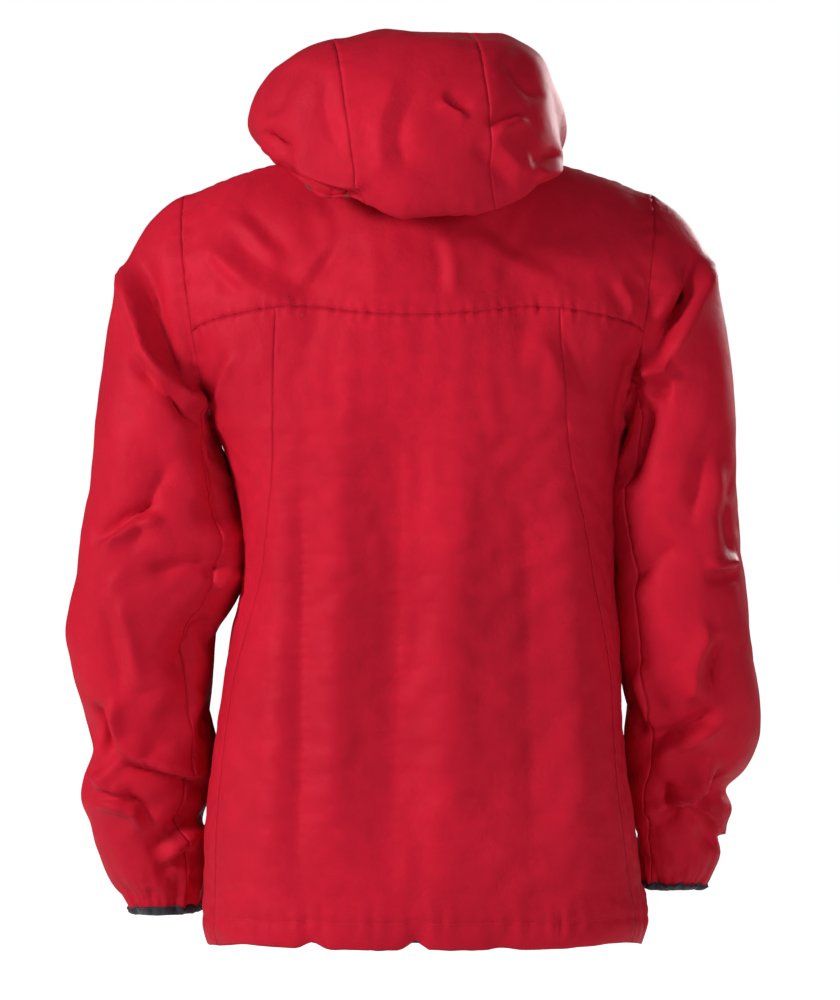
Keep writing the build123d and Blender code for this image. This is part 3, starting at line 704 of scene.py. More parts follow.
def fold_profile(points, line, depth, width, lean):
    """The valley of a fold and the ridge beside it, at each point."""
    reach = points[:, None] - line[None]
    distance = np.linalg.norm(reach, axis=2)
    nearest = distance.argmin(axis=1)
    away = distance[np.arange(len(points)), nearest]
    tangent = tangents(line)
    offset = reach[np.arange(len(points)), nearest]
    side = np.sign(tangent[nearest, 0] * offset[:, 1] - tangent[nearest, 1] * offset[:, 0])
    along = nearest / (len(line) - 1)
    ends = smooth(along / 0.3) * smooth((1 - along) / 0.3)
    spread = width * MM * (1.25 - 0.35 * ends)
    signed = away * side
    valley = np.exp(-((away / spread) ** (1.15 if depth > 0 else 2)))
    ridge = 0.95 * np.exp(-((np.abs(signed - 1.7 * lean * spread) / (1.15 * spread)) ** 1.3)) * abs(lean)
    return depth * MM * ends * (ridge - valley)


def unevenness(points, size, seed):
    """Soft lumps of about the given size all over the cloth, from -1 to 1."""
    rng = np.random.default_rng(seed)
    out = np.zeros(len(points))
    for _ in range(14):
        direction = rng.normal(size=3)
        direction /= np.linalg.norm(direction)
        pitch = size * rng.uniform(0.7, 1.8)
        bend = 0.6 * np.sin(points @ rng.normal(size=3) * 2 * np.pi / (3 * size) + rng.uniform(0, 6.3))
        out += np.sin(points @ direction * 2 * np.pi / pitch + rng.uniform(0, 6.3) + 2 * bend)
    return out / 5


def facets(points, size, seed):
    """Flat facets of about the given size meeting in crisp creases, from -1 to 1."""
    rng = np.random.default_rng(seed)
    out = np.zeros(len(points))
    for _ in range(5):
        direction = rng.normal(size=3)
        direction /= np.linalg.norm(direction)
        bend = 0.9 * np.sin(points @ rng.normal(size=3) * 2 * np.pi / (3 * size) + rng.uniform(0, 6.3))
        phase = points @ direction * 2 * np.pi / (size * rng.uniform(0.8, 2.0)) + rng.uniform(0, 6.3) + bend
        out += np.arcsin(0.985 * np.sin(phase)) * 2 / np.pi
    return out / 3


def add_folds(form, zones):
    """Pushes the folds into the form. zones gives each zone's share at each point."""
    normals = form.normals()
    flat = form.points[:, [0, 2]]
    lift = np.zeros(len(flat))
    for folds, facing in ((FOLDS, 1), (FRONT_FOLDS, -1)):
        faces = smooth(normals[:, 1] * facing * 1.6 + 0.25)
        for zone, depth, width, lean, path in folds:
            if zone in zones:
                height = fold_height(flat, path, depth, width * FOLD_WIDTH[zone], lean)
                lift += FOLD_DEPTH[zone] * height * faces * zones[zone]
    form.points = form.points + normals * lift[:, None]


def distance_to(form, names, spacing=1):
    """Each point's distance to the nearest of the named lines, and the place along it."""
    spots, places = [], []
    for name in names:
        line = form.points[form.lines[name]]
        run = run_along(line)
        spots.append(line[::spacing])
        places.append(run[::spacing])
    spots, places = np.vstack(spots), np.concatenate(places)
    tree = KDTree(len(spots))
    for number, spot in enumerate(spots):
        tree.insert(spot, number)
    tree.balance()
    found = [tree.find(p) for p in form.points]
    return np.array([f[2] for f in found]), places[[f[1] for f in found]]


SETTLE_FRAMES = 18
SETTLE_GROWTH = 0.006  # share by which the cloth grows
SETTLE_REACH = 12 * MM  # the furthest that a point may move


def settle(form, hold):
    """Lets the cloth grow a little and settle under its own weight, held by the given share."""
    obj = form.piece("settling_shell", np.unique(form.panel))
    group = obj.vertex_groups.new(name="hold")
    steps = np.round(hold * 40).astype(int)
    for step in np.unique(steps):
        if step > 0:
            group.add(np.flatnonzero(steps == step).tolist(), step / 40, "REPLACE")
    cloth = obj.modifiers.new("settle", "CLOTH")
    settings = cloth.settings
    settings.quality = 5
    settings.mass = 0.12
    settings.tension_stiffness = 12
    settings.compression_stiffness = 12
    settings.shear_stiffness = 4
    settings.bending_stiffness = 6.0
    settings.vertex_group_mass = "hold"
    settings.pin_stiffness = 1.0
    settings.shrink_min = -SETTLE_GROWTH
    settings.effector_weights.gravity = 0.35
    cloth.collision_settings.use_collision = False
    scene = bpy.context.scene
    cloth.point_cache.frame_start = 1
    cloth.point_cache.frame_end = SETTLE_FRAMES
    for number in range(1, SETTLE_FRAMES + 1):
        scene.frame_set(number)
    shown = obj.evaluated_get(bpy.context.evaluated_depsgraph_get())
    mesh = shown.to_mesh()
    out = np.zeros(len(mesh.vertices) * 3)
    mesh.vertices.foreach_get("co", out)
    shown.to_mesh_clear()
    bpy.data.meshes.remove(obj.data)
    scene.frame_set(1)
    moved = out.reshape(-1, 3) - form.points
    far = np.linalg.norm(moved, axis=1, keepdims=True)
    form.points = form.points + moved * np.minimum(1, SETTLE_REACH / np.maximum(far, 1e-9))


SEAMS = ("yoke", "princess", "armhole", "side", "under_back", "under_front")


def side_lines(*names):
    """Those lines' names on both sides."""
    return [f"{name}_{side}" for name in names for side, _ in SIDES]


def finished_shell():
    """The body and sleeves, folded, settled, refined and puckered along their seams."""
    form = build_shell()
    count = len(form.points)
    arms = np.concatenate(list(form.arms.values()))
    free = np.ones(count)
    free[arms] = 0
    upper = (form.points[:, 2] > ARMPIT_Z) * free
    hard = np.zeros(count)
    for name in form.lines:
        hard[form.lines[name]] = 1
    for name in side_lines("yoke", "princess", "shoulder", "armhole"):
        hard[form.lines[name]] = 0.5
    for _ in range(24):
        form.relax(0.6, 1 - upper * (1 - hard))
    for side, _ in SIDES:
        cap_points = np.zeros(count)
        cap_points[form.arms[side]] = 1
        above = cap_points * (form.points[:, 2] > ARM_TOP_Z)
        for _ in range(5):
            form.relax(0.5, 1 - above)
    zip_share, _ = distance_to(form, side_lines("zip_edge"))
    slot_share, _ = distance_to(form, side_lines("slot_inner", "slot_outer"))
    loose = smooth(zip_share / (40 * MM)) * smooth(slot_share / (22 * MM))
    hold = np.full(count, 0.3)
    seams, _ = distance_to(form, side_lines(*SEAMS))
    hold = np.maximum(hold, 0.8 * (1 - smooth(seams / (8 * MM))))
    hold[arms] *= 0.7
    hold = np.maximum(hold, free * (1 - loose))
    for name in [*side_lines("cuff", "neck_back", "neck_front", "zip_edge"), "hem_edge", "hem_stitch"]:
        hold[form.lines[name]] = 1
    settle(form, hold)
    limbs = np.zeros((len(form.points), 2))
    for number, (side, _) in enumerate(SIDES):
        limbs[form.arms[side], number] = 1
    form.points = np.column_stack([form.points, limbs])
    form = form.refined()
    limbs = np.clip(form.points[:, 3:], 0, 1)
    form.points = form.points[:, :3]
    zip_share, _ = distance_to(form, side_lines("zip_edge"))
    slot_share, _ = distance_to(form, side_lines("slot_inner", "slot_outer"))
    loose = smooth((zip_share - 16 * MM) / (36 * MM)) * smooth((slot_share - 14 * MM) / (24 * MM))
    zones = {"left": limbs[:, 0], "right": limbs[:, 1], "body": (1 - limbs.sum(axis=1)) * loose}
    add_folds(form, zones)
    arm_share = zones["left"] + zones["right"]
    lumps = unevenness(form.points, 46 * MM, 61) * (0.35 + 0.25 * arm_share)
    lumps += unevenness(form.points, 21 * MM, 62) * 0.15
    lumps += facets(form.points * (1, 1, 0.6), 74 * MM, 65) * (0.5 + 2.0 * arm_share)
    form.push(lumps * MM * np.maximum(zones["body"], arm_share))
    pucker(form)
    flat = (zip_share < 16 * MM) | (slot_share < 20 * MM)
    flat &= form.points[:, 2] < 8 * MM
    form.points[flat, 1] = FRONT_Y - 0.1 * MM
    form.points[:, 2] = np.minimum(form.points[:, 2], 60 * MM)
    return form


def pucker(form):
    """Gathers and seam puckers, which are finer than the folds."""
    count = len(form.points)
    lift = np.zeros(count)
    away, along = distance_to(form, side_lines("yoke"))
    lift += 1.3 * MM * ripple(along, 15 * MM, 3) * bell(away, 7 * MM)
    away, along = distance_to(form, side_lines("princess", "side", "shoulder"))
    lift += 0.45 * MM * ripple(along, 17 * MM, 4) * bell(away, 7 * MM)
    away, along = distance_to(form, side_lines("armhole"))
    lift += 1.4 * MM * ripple(along, 20 * MM, 5) * bell(away, 11 * MM)
    away, along = distance_to(form, side_lines("under_back", "under_front"))
    lift += 0.7 * MM * ripple(along, 15 * MM, 6) * bell(away, 7 * MM)
    for name in ("cuff_left", "cuff_right"):
        away, along = distance_to(form, [name])
        near = np.exp(-away / (26 * MM))
        lift += (3.0 * MM * ripple(along, 14 * MM, 7) + 2.0 * MM) * near * smooth(away / (5 * MM))
    away, along = distance_to(form, ["hem_stitch"])
    height = form.points[:, 2]
    low = height < HEM_STITCH_Z + 60 * MM
    lift += low * 1.7 * MM * ripple(along, 17 * MM, 8) * bell(away, 15 * MM)
    casing = np.clip((HEM_STITCH_Z - height) / (HEM_STITCH_Z - HEM_Z), 0, 1)
    lift += 1.5 * MM * np.sin(np.pi * casing) * (casing > 0)
    zip_away, _ = distance_to(form, side_lines("zip_edge", "slot_inner", "slot_outer"))
    lift *= smooth(zip_away / (16 * MM))
    for name in side_lines(*SEAMS) + ["hem_stitch"]:
        lift[form.lines[name]] -= 0.22 * MM
    form.push(lift)
    bottom = form.points[:, 2] < HEM_STITCH_Z
    ring = np.arctan2(form.points[:, 0], form.points[:, 1])
    drop = 1.6 * MM * ripple(ring * 0.2, 90 * MM, 9) * bottom * casing
    behind = smooth((form.points[:, 1] + 40 * MM) / (80 * MM))
    notch = 6 * MM + 3 * MM * smooth((-150 * MM - form.points[:, 0]) / (55 * MM))
    lumps = 0
    for x, depth, width in ((99, 7, 11), (2, 8, 9), (-79, 2, 12), (160, 2, 14)):
        lumps = lumps + depth * MM * bell(form.points[:, 0] - x * MM, width * MM)
    lifted = (notch + lumps) * behind * np.clip((HEM_STITCH_Z + 50 * MM - height) / (78 * MM), 0, 1) ** 2
    form.points[:, 2] += lifted + drop * 0.5
    form.points[:, 1] -= 0.5 * lifted


# ------------------------------------------------------------------ hood and collar
HOOD_CENTRE = mm(4, -28, 62)
HOOD_SIDE_COLS, HOOD_MID_COLS, HOOD_ROWS, TUCK_ROWS = 22, 22, 46, 9
HOOD_L, HOOD_MID, HOOD_R = range(20, 23)
# height, half width left, half width right, front y, back y
HOOD = [
    (-30, 58, 60, 0, 80),
    (-24, 78, 82, -10, 92),
    (-10, 104, 104, -30, 102),
    (12, 128, 124, -70, 106),
    (36, 143, 134, -100, 107),
    (62, 157, 135, -124, 106),
    (88, 159, 134, -138, 101),
    (114, 151, 132, -138, 92),
    (136, 134, 127, -122, 76),
    (152, 110, 109, -98, 54),
    (161, 86, 88, -66, 26),
    (168, 34, 34, -40, 0),
]
# the lowest line of the hood, from the left seam to the right at the nape
NAPE = [
    (100, 62, 3), (84, 76, -6), (60, 86, -6), (50, 88, -11), (26, 90, -23), (0, 91, -24),
    (-26, 90, -23), (-52, 88, -22), (-74, 84, -18), (-97, 72, -4), (-108, 60, 6),
]
# from the nape round the side to the chin
ROLL_LEFT = [
    (100, 62, 3), (120, 36, 22), (138, 4, 38), (143, -34, 44), (130, -84, 48), (96, -122, 48),
    (58, -142, 42),
]
ROLL_RIGHT = [
    (-108, 60, 6), (-126, 38, 18), (-138, 10, 33), (-136, -34, 42), (-124, -84, 48),
    (-92, -122, 48), (-58, -142, 42),
]
# the face opening, from the left of the chin over the brow
FACE = [
    (58, -142, 42), (100, -130, 62), (130, -104, 88), (136, -80, 110), (118, -54, 134),
    (86, -40, 149), (40, -30, 157), (0, -28, 160), (-46, -30, 157), (-80, -40, 148),
    (-108, -54, 133), (-124, -78, 112), (-122, -104, 88), (-96, -130, 62), (-58, -142, 42),
]
# share of the way from the nape to the brow, and where the two seams run
HOOD_SEAMS = [(0, 50, -74), (0.15, 58, -70), (0.35, 66, -66), (0.55, 72, -57), (0.75, 80, -50), (1, 84, -46)]
NAPE_SEAMS = (3, 8)
FACE_SEAMS = (5, 8)
COLLAR_TOP = [
    (7, -181, 57), (44, -164, 57), (76, -122, 57), (88, -64, 57), (76, -14, 57), (46, 10, 57),
    (0, 17, 57),
]


def spaced_through(points, stops, counts):
    """A smooth line with the given number of steps between the numbered points."""
    fine = curve(placed(points), 1200)
    marks = [int(np.linalg.norm(fine - mm(*points[k]), axis=1).argmin()) for k in stops]
    return split_run(fine, marks, counts)


def hood_reach(direction):
    """How far the hood's skin lies from its centre in each direction."""
    shape = direction.shape[:-1]
    direction = direction.reshape(-1, 3)
    near, far = np.zeros(len(direction)), np.full(len(direction), 0.4)
    for _ in range(30):
        middle = (near + far) / 2
        p = HOOD_CENTRE + direction * middle[:, None]
        left, right, front_y, back_y = (v * MM for v in table(HOOD, np.clip(p[:, 2] / MM, -30, 168)))
        half_x = np.where(p[:, 0] > 0, left, right)
        mid_y = (front_y + back_y) / 2
        half_y = (back_y - front_y) / 2
        inside = (np.abs(p[:, 0]) / half_x) ** 2.3 + (np.abs(p[:, 1] - mid_y) / half_y) ** 2.3 < 1
        inside &= (p[:, 2] > -27 * MM) & (p[:, 2] < 166 * MM)
        near, far = np.where(inside, middle, near), np.where(inside, far, middle)
    return near.reshape(shape)


def from_centre(line):
    """Directions and distances of points from the hood's centre."""
    away = line - HOOD_CENTRE
    reach = np.linalg.norm(away, axis=-1)
    return away / reach[..., None], reach


def build_hood():
    """The hood's skin in three panels, tucked under along the neck."""
    form = Form()
    cols = (HOOD_SIDE_COLS, HOOD_MID_COLS, HOOD_SIDE_COLS)
    nape_dir, nape_far = from_centre(spaced_through(NAPE, NAPE_SEAMS, (10, HOOD_MID_COLS, 10)))
    wide = np.concatenate([np.linspace(0, 10, HOOD_SIDE_COLS + 1)[:-1], 10 + np.arange(HOOD_MID_COLS)])
    wide = np.concatenate([wide, np.linspace(10 + HOOD_MID_COLS, 20 + HOOD_MID_COLS, HOOD_SIDE_COLS + 1)])
    spot = np.arange(len(nape_far))
    nape_dir = np.stack([np.interp(wide, spot, nape_dir[:, k]) for k in range(3)], axis=1)
    nape_far = np.interp(wide, spot, nape_far)
    face_dir, face_far = from_centre(spaced_through(FACE, FACE_SEAMS, cols))
    count = sum(cols) + 1
    v = np.linspace(0, 1, HOOD_ROWS + 1)
    u = np.linspace(0, 1, count)
    angle = np.arccos(np.clip((nape_dir * face_dir).sum(axis=1), -1, 1))[None, :, None]
    t = v[:, None, None]
    swing = (np.sin((1 - t) * angle) * nape_dir + np.sin(t * angle) * face_dir) / np.sin(angle)
    near_left = (1 - smooth(u / 0.42))[None, :, None]
    near_right = (1 - smooth((1 - u) / 0.42))[None, :, None]
    left_dir, left_far = from_centre(curve(placed(ROLL_LEFT), HOOD_ROWS + 1))
    right_dir, right_far = from_centre(curve(placed(ROLL_RIGHT), HOOD_ROWS + 1))
    first, last = swing[:, :1].copy(), swing[:, -1:].copy()
    swing = swing + near_left * (left_dir[:, None] - first) + near_right * (right_dir[:, None] - last)
    swing = unit(swing)
    far = hood_reach(swing)
    at_nape, at_face = (1 - smooth(v / 0.3))[:, None], smooth((v - 0.6) / 0.4)[:, None]
    far = far + at_nape * (nape_far - far[0])[None] + at_face * (face_far - far[-1])[None]
    slim_left, slim_right = (1 - smooth(u / 0.3))[None], (1 - smooth((1 - u) / 0.3))[None]
    left_gap, right_gap = (left_far - far[:, 0])[:, None], (right_far - far[:, -1])[:, None]
    far = far + slim_left * left_gap + slim_right * right_gap
    grid = HOOD_CENTRE + swing * far[..., None]
    for row in range(1, HOOD_ROWS):
        line = evenly(grid[row], 900)
        left_x, right_x = (v * MM for v in table(HOOD_SEAMS, v[row]))
        stops = [np.argmax(line[:, 0] < left_x), np.argmax(line[:, 0] < right_x)]
        grid[row] = split_run(line, stops, cols)
    index = form.add_points(grid)
    panel = np.repeat([HOOD_L, HOOD_MID, HOOD_R], cols)
    cloth = cloth_map(u * 0.46, v * 0.36)
    form.add_grid(index, np.tile(panel, (HOOD_ROWS, 1)), cloth)

    rim = np.concatenate([index[::-1, 0], index[0, 1:], index[1:, -1]])
    neck = curve(neck_loop(3 * MM), len(rim))
    start = form.points[rim]
    bend = start + (neck - start) * 0.25 + mm(0, 0, -5)
    t = np.linspace(0, 1, TUCK_ROWS + 1)[:, None, None]
    tuck = (1 - t) ** 2 * start + 2 * (1 - t) * t * bend + t**2 * neck
    tuck[1:, :, 2] += 4 * MM * np.sin(np.pi * np.linspace(0, 1, TUCK_ROWS + 1)[1:])[:, None]
    tuck_index = np.vstack([rim[None], form.add_points(tuck[1:])])
    seam_a, seam_b = HOOD_ROWS + HOOD_SIDE_COLS, HOOD_ROWS + HOOD_SIDE_COLS + HOOD_MID_COLS
    quad = np.arange(len(rim) - 1)
    tuck_panel = np.select([quad < seam_a, quad < seam_b], [HOOD_L, HOOD_MID], HOOD_R)
    around = np.linspace(0, 0.9, len(rim))
    cloth = cloth_map(around, -np.linspace(0, 0.05, TUCK_ROWS + 1))
    form.add_grid(tuck_index, np.tile(tuck_panel, (TUCK_ROWS, 1)), cloth, flip=True)
    form.lines["face"] = tuck_index[::-1, 0].tolist() + index[-1, 1:].tolist() + tuck_index[1:, -1].tolist()
    form.lines["hood_seam_left"] = index[:, HOOD_SIDE_COLS].tolist()
    form.lines["hood_seam_right"] = index[:, HOOD_SIDE_COLS + HOOD_MID_COLS].tolist()
    form.lines["nape"] = index[0].tolist()
    form.lines["neck"] = tuck_index[-1].tolist()
    return form


def neck_loop(out):
    """The neck seam from the left front round the back to the right front, moved outwards."""
    left = curve(placed(NECK_FRONT[::-1][1:]), 40)
    back = curve(placed(NECK_BACK), 40)
    half = np.vstack([left, back[1:]])
    middle = mm(0, -70, 0)
    half = half + out * (unit((half - middle) * [1, 1, 0]) + [0, 0, 1])
    return np.vstack([half, half[::-1][1:] * [-1, 1, 1]])


def finished_hood():
    """The hood, folded and refined."""
    form = build_hood()
    for _ in range(3):
        keep = np.zeros(len(form.points))
        for name in ("face", "neck"):
            keep[form.lines[name]] = 1
        form.relax(0.5, keep)
    form = form.refined()
    add_folds(form, {"hood": np.ones(len(form.points))})
    face_away, _ = distance_to(form, ["face"])
    soft = smooth(face_away / (20 * MM))
    crush = facets(form.points, 72 * MM, 66) * 3.2 + facets(form.points, 34 * MM, 67) * 0.8
    form.push((unevenness(form.points, 58 * MM, 63) * 0.5 + crush) * MM * soft)
    away, along = distance_to(form, ["hood_seam_left", "hood_seam_right"])
    lift = 0.7 * MM * ripple(along, 17 * MM, 21) * bell(away, 8 * MM)
    away, along = distance_to(form, ["nape"])
    lift += 1.2 * MM * ripple(along, 48 * MM, 22) * bell(away, 16 * MM)
    away, along = distance_to(form, ["face"])
    lift += 1.3 * MM * ripple(along, 15 * MM, 23) * np.exp(-away / (14 * MM)) * smooth(away / (3 * MM))
    for name in ("hood_seam_left", "hood_seam_right"):
        lift[form.lines[name]] -= 0.3 * MM
    form.push(lift)
    return form


def strip(name, rows):
    """A sheet object from rows of points."""
    form = Form()
    rows = np.asarray(rows)
    index = form.add_points(rows)
    along = np.concatenate([[0], np.cumsum(np.linalg.norm(np.diff(rows[0], axis=0), axis=1))])
    across = np.concatenate([[0], np.cumsum(np.linalg.norm(np.diff(rows[:, 0], axis=0), axis=1))])
    cloth = np.stack(np.broadcast_arrays(along[None, :], across[:, None]), axis=-1)
    form.add_grid(index, 0, cloth)
    return form.piece(name, [0])


# ------------------------------------------------------------------ shader maths
class Wire:
    """A shader socket with arithmetic."""

    def __init__(self, tree, socket):
        self.tree = tree
        self.socket = socket

    def node(self, kind, settings=None, stops=None, output=0, **inputs):
        """Any node from its type, its settings and the values or links of its inputs."""
        node = self.tree.nodes.new(kind)
        for name, value in (settings or {}).items():
            setattr(node, name, value)
        if stops:
            ramp = node.color_ramp
            while len(ramp.elements) < len(stops):
                ramp.elements.new(0.5)
            for element, (place, colour) in zip(ramp.elements, stops):
                element.position = place
                element.color = colour
        for name, value in inputs.items():
            key = int(name[1:]) if name[0] == "i" and name[1:].isdigit() else name.replace("_", " ")
            target = node.inputs[key]
            if isinstance(value, Wire):
                self.tree.links.new(value.socket, target)
            else:
                target.default_value = value
        return Wire(self.tree, node.outputs[output])

    def math(self, operation, other=0.0, swap=False):
        """A Math node on this value and another."""
        first, second = (other, self) if swap else (self, other)
        return self.node("ShaderNodeMath", {"operation": operation}, i0=first, i1=second)

    def __add__(self, other):
        return self.math("ADD", other)

    def __sub__(self, other):
        return self.math("SUBTRACT", other)

    def __mul__(self, other):
        return self.math("MULTIPLY", other)

    def __truediv__(self, other):
        return self.math("DIVIDE", other)

    def __rsub__(self, other):
        return self.math("SUBTRACT", other, swap=True)

    def __rtruediv__(self, other):
        return self.math("DIVIDE", other, swap=True)

    __radd__ = __add__
    __rmul__ = __mul__

    def sine(self):
        return self.math("SINE")

    def ramped(self, low, high):
        """0 to 1 between the two values."""
        return self.node(
            "ShaderNodeMapRange",
            {"interpolation_type": "SMOOTHSTEP"},
            Value=self,
            From_Min=low,
            From_Max=high,
        )

    def noise(self, scale, detail=3.0, roughness=0.55):
        """Noise read at this vector."""
        return self.node("ShaderNodeTexNoise", Vector=self, Scale=scale, Detail=detail, Roughness=roughness)

    def axis(self, number):
        """One number of this vector."""
        return self.node("ShaderNodeSeparateXYZ", output=number, Vector=self)

    def between(self, first, second):
        """The colour between two, by this amount."""
        return self.node("ShaderNodeMix", {"data_type": "RGBA"}, output=2, i0=self, i6=first, i7=second)


def shade(colour, factor):
    """A colour made lighter or darker."""
    return (*(min(1.0, channel * factor) for channel in colour[:3]), 1.0)


def material(name, build, **constants):
    """A material: build gets its Object-coordinate wire and returns the links of the shader's inputs."""
    made = bpy.data.materials.get(name + "_look")
    if made:
        return made
    made = bpy.data.materials.new(name + "_look")
    made.use_nodes = True
    tree = made.node_tree
    shader = tree.nodes["Principled BSDF"]
    for key, value in constants.items():
        shader.inputs[key.replace("_", " ")].default_value = value
    coordinates = tree.nodes.new("ShaderNodeTexCoord")
    place = Wire(tree, coordinates.outputs["Object"])
    links = build(place)
    height = links.pop("Height", None)
    for key, wire in links.items():
        tree.links.new(wire.socket, shader.inputs[key])
    if height:
        wire, distance = height
        bump = place.node("ShaderNodeBump", Height=wire, Strength=1.0, Distance=distance)
        tree.links.new(bump.socket, shader.inputs["Normal"])
    return made


def cloth_uv(place):
    """The cloth's own map, in metres across and along it."""
    tree = place.tree
    uv = Wire(tree, tree.nodes.new("ShaderNodeUVMap").outputs["UV"])
    uv.socket.node.uv_map = "cloth"
    return uv


def weave(place, pitch):
    """Plain weave along the cloth's own map, 0 to 1."""
    uv = cloth_uv(place)
    across, along = uv.axis(0) * (2 * math.pi / pitch), uv.axis(1) * (2 * math.pi / pitch)
    return (across.sine() * along.sine()) * 0.5 + 0.5


def shell_cloth(place):
    """Thin smooth shell cloth: fine weave with painted shade between its threads, cloudy tone, small creases.
    """
    colour = tuple(bpy.context.scene.jacket_colours.shell)
    threads = weave(place, 0.9 * MM)
    cloud = place.noise(7.0, 4.0)
    small = place.noise(60.0, 4.0, 0.6)
    crumple = place.noise(26.0, 5.0, 0.62)
    tone = cloud.ramped(0.3, 0.72).between(shade(colour, 0.86), shade(colour, 1.1))
    tone = (small.ramped(0.35, 0.7) * 0.35).between(tone, shade(colour, 0.8))
    # painted shade: darker between the threads, where the weave's bump is low
    tone = ((1 - threads) * 0.16).between(tone, shade(colour, 0.55))
    gloss = 0.47 + cloud.ramped(0.35, 0.7) * 0.07 + small.ramped(0.3, 0.7) * 0.05
    creases = 1 - (crumple - 0.5).math("ABSOLUTE").ramped(0.0, 0.12)
    height = threads * 0.04 + crumple.ramped(0.25, 0.75) * 0.3 + small * 0.06 + creases * 0.1
    return {"Base Color": tone, "Roughness": gloss, "Height": (height, 0.0014)}


def lining_cloth(place):
    """The shell cloth's coated inner face, with painted shade between its threads."""
    colour = tuple(bpy.context.scene.jacket_colours.lining)
    threads = weave(place, 1.2 * MM)
    cloud = place.noise(9.0, 4.0)
    tone = cloud.ramped(0.3, 0.7).between(shade(colour, 0.82), shade(colour, 1.1))
    # painted shade: darker between the threads, where the weave's bump is low
    tone = ((1 - threads) * 0.22).between(tone, shade(colour, 0.6))
    gloss = 0.5 + cloud.ramped(0.3, 0.7) * 0.1
    return {"Base Color": tone, "Roughness": gloss, "Height": (threads * 0.3 + cloud * 0.8, 0.0006)}


def elastic(place):
    """Navy knitted binding with ribs along its length, painted darker in the hollows between ribs and loops
    and lighter on their crests.
    """
    colour = tuple(bpy.context.scene.jacket_colours.binding)
    uv = cloth_uv(place)
    ribs = (uv.axis(1) * (2 * math.pi / (1.4 * MM))).sine() * 0.5 + 0.5
    loops = (uv.axis(0) * (2 * math.pi / (1.1 * MM))).sine() * 0.5 + 0.5
    fuzz = place.noise(300.0, 3.0)
    # painted shade in the hollows between the ribs and loops, painted highlight on their crests, following
    # the bump
    tone = (ribs * 0.6 + loops * 0.4).between(shade(colour, 0.5), shade(colour, 1.7))
    tone = (fuzz.ramped(0.5, 0.75) * 0.3).between(tone, shade(colour, 2.6))
    return {"Base Color": tone, "Roughness": 0.72 + fuzz * 0.15, "Height": (ribs * 0.7 + loops * 0.5, 0.0003)}


def woven(colour_name, pitch, relief):
    """A woven tape or webbing in herringbone, with painted shade in the grooves between its bars."""

    def build(place):
        colour = tuple(getattr(bpy.context.scene.jacket_colours, colour_name))
        zig = (place.axis(0) * (math.pi / (2.2 * MM))).math("PINGPONG", 1.0)
        bars = ((place.axis(2) + zig * 0.0016) * (2 * math.pi / pitch)).sine() * 0.5 + 0.5
        fuzz = place.noise(240.0, 3.0)
        # painted shade: darker in the grooves between the bars, where the bump is low
        tone = bars.between(shade(colour, 0.6), shade(colour, 1.2))
        tone = (fuzz.ramped(0.45, 0.75) * 0.3).between(tone, shade(colour, 1.5))
        return {"Base Color": tone, "Roughness": 0.66 + fuzz * 0.15, "Height": (bars, relief)}

    return build


def plastic(colour_name, gloss):
    """Moulded nylon with a fine grain."""

    def build(place):
        colour = tuple(getattr(bpy.context.scene.jacket_colours, colour_name))
        grain = place.noise(900.0, 2.0)
        cloud = place.noise(60.0, 3.0)
        tone = cloud.ramped(0.3, 0.7).between(shade(colour, 0.85), shade(colour, 1.15))
        return {"Base Color": tone, "Roughness": gloss + grain * 0.14, "Height": (grain, 0.00008)}

    return build


def painted_metal(place):
    """Zip metal with a dark finish, worn bright in places."""
    colour = tuple(bpy.context.scene.jacket_colours.hardware)
    scuff = place.noise(420.0, 5.0, 0.65)
    worn = scuff.ramped(0.56, 0.72)
    tone = worn.between(shade(colour, 1.0), (0.42, 0.42, 0.44, 1.0))
    return {"Base Color": tone, "Roughness": 0.28 + scuff * 0.25, "Height": (scuff, 0.00004)}


def spring_wire(place):
    """Bright drawn spring wire."""
    drawn = place.noise(700.0, 3.0)
    tone = drawn.between((0.42, 0.42, 0.44, 1.0), (0.72, 0.72, 0.74, 1.0))
    return {"Base Color": tone, "Roughness": 0.2 + drawn * 0.15}


def seam_film(place):
    """Heat-bonded seam tape, slightly pebbled, painted lighter on the pebbles and darker between them."""
    pebble = place.noise(520.0, 3.0)
    colour = tuple(bpy.context.scene.jacket_colours.lining)
    # painted light and shade: lighter on the raised pebbles, darker between them, following the bump
    tone = pebble.ramped(0.3, 0.7).between(shade(colour, 1.1), shade(colour, 1.6))
    return {"Base Color": tone, "Roughness": 0.34 + pebble * 0.2, "Height": (pebble, 0.0002)}


def blank_label(place):
    """Satin label ribbon with woven bars, painted darker between them, and no lettering."""
    warp = (place.axis(0) * (2 * math.pi / (0.5 * MM))).sine() * 0.5 + 0.5
    cloud = place.noise(50.0, 3.0)
    # painted shade between the warp threads, where the bump is low, mixed with random cloudy tone
    tone = (warp * 0.5 + cloud * 0.5).between((0.62, 0.61, 0.58, 1.0), (0.86, 0.85, 0.82, 1.0))
    return {"Base Color": tone, "Roughness": 0.42 + cloud * 0.15, "Height": (warp, 0.0001)}


def thread(place):
    """Twisted sewing thread."""
    colour = tuple(bpy.context.scene.jacket_colours.shell)
    twist = ((place.axis(0) + place.axis(2) + place.axis(1)) * (2 * math.pi / (0.7 * MM))).sine() * 0.5 + 0.5
    tone = twist.between(shade(colour, 0.9), shade(colour, 1.35))
    return {"Base Color": tone, "Roughness": 0.55 + twist * 0.1}


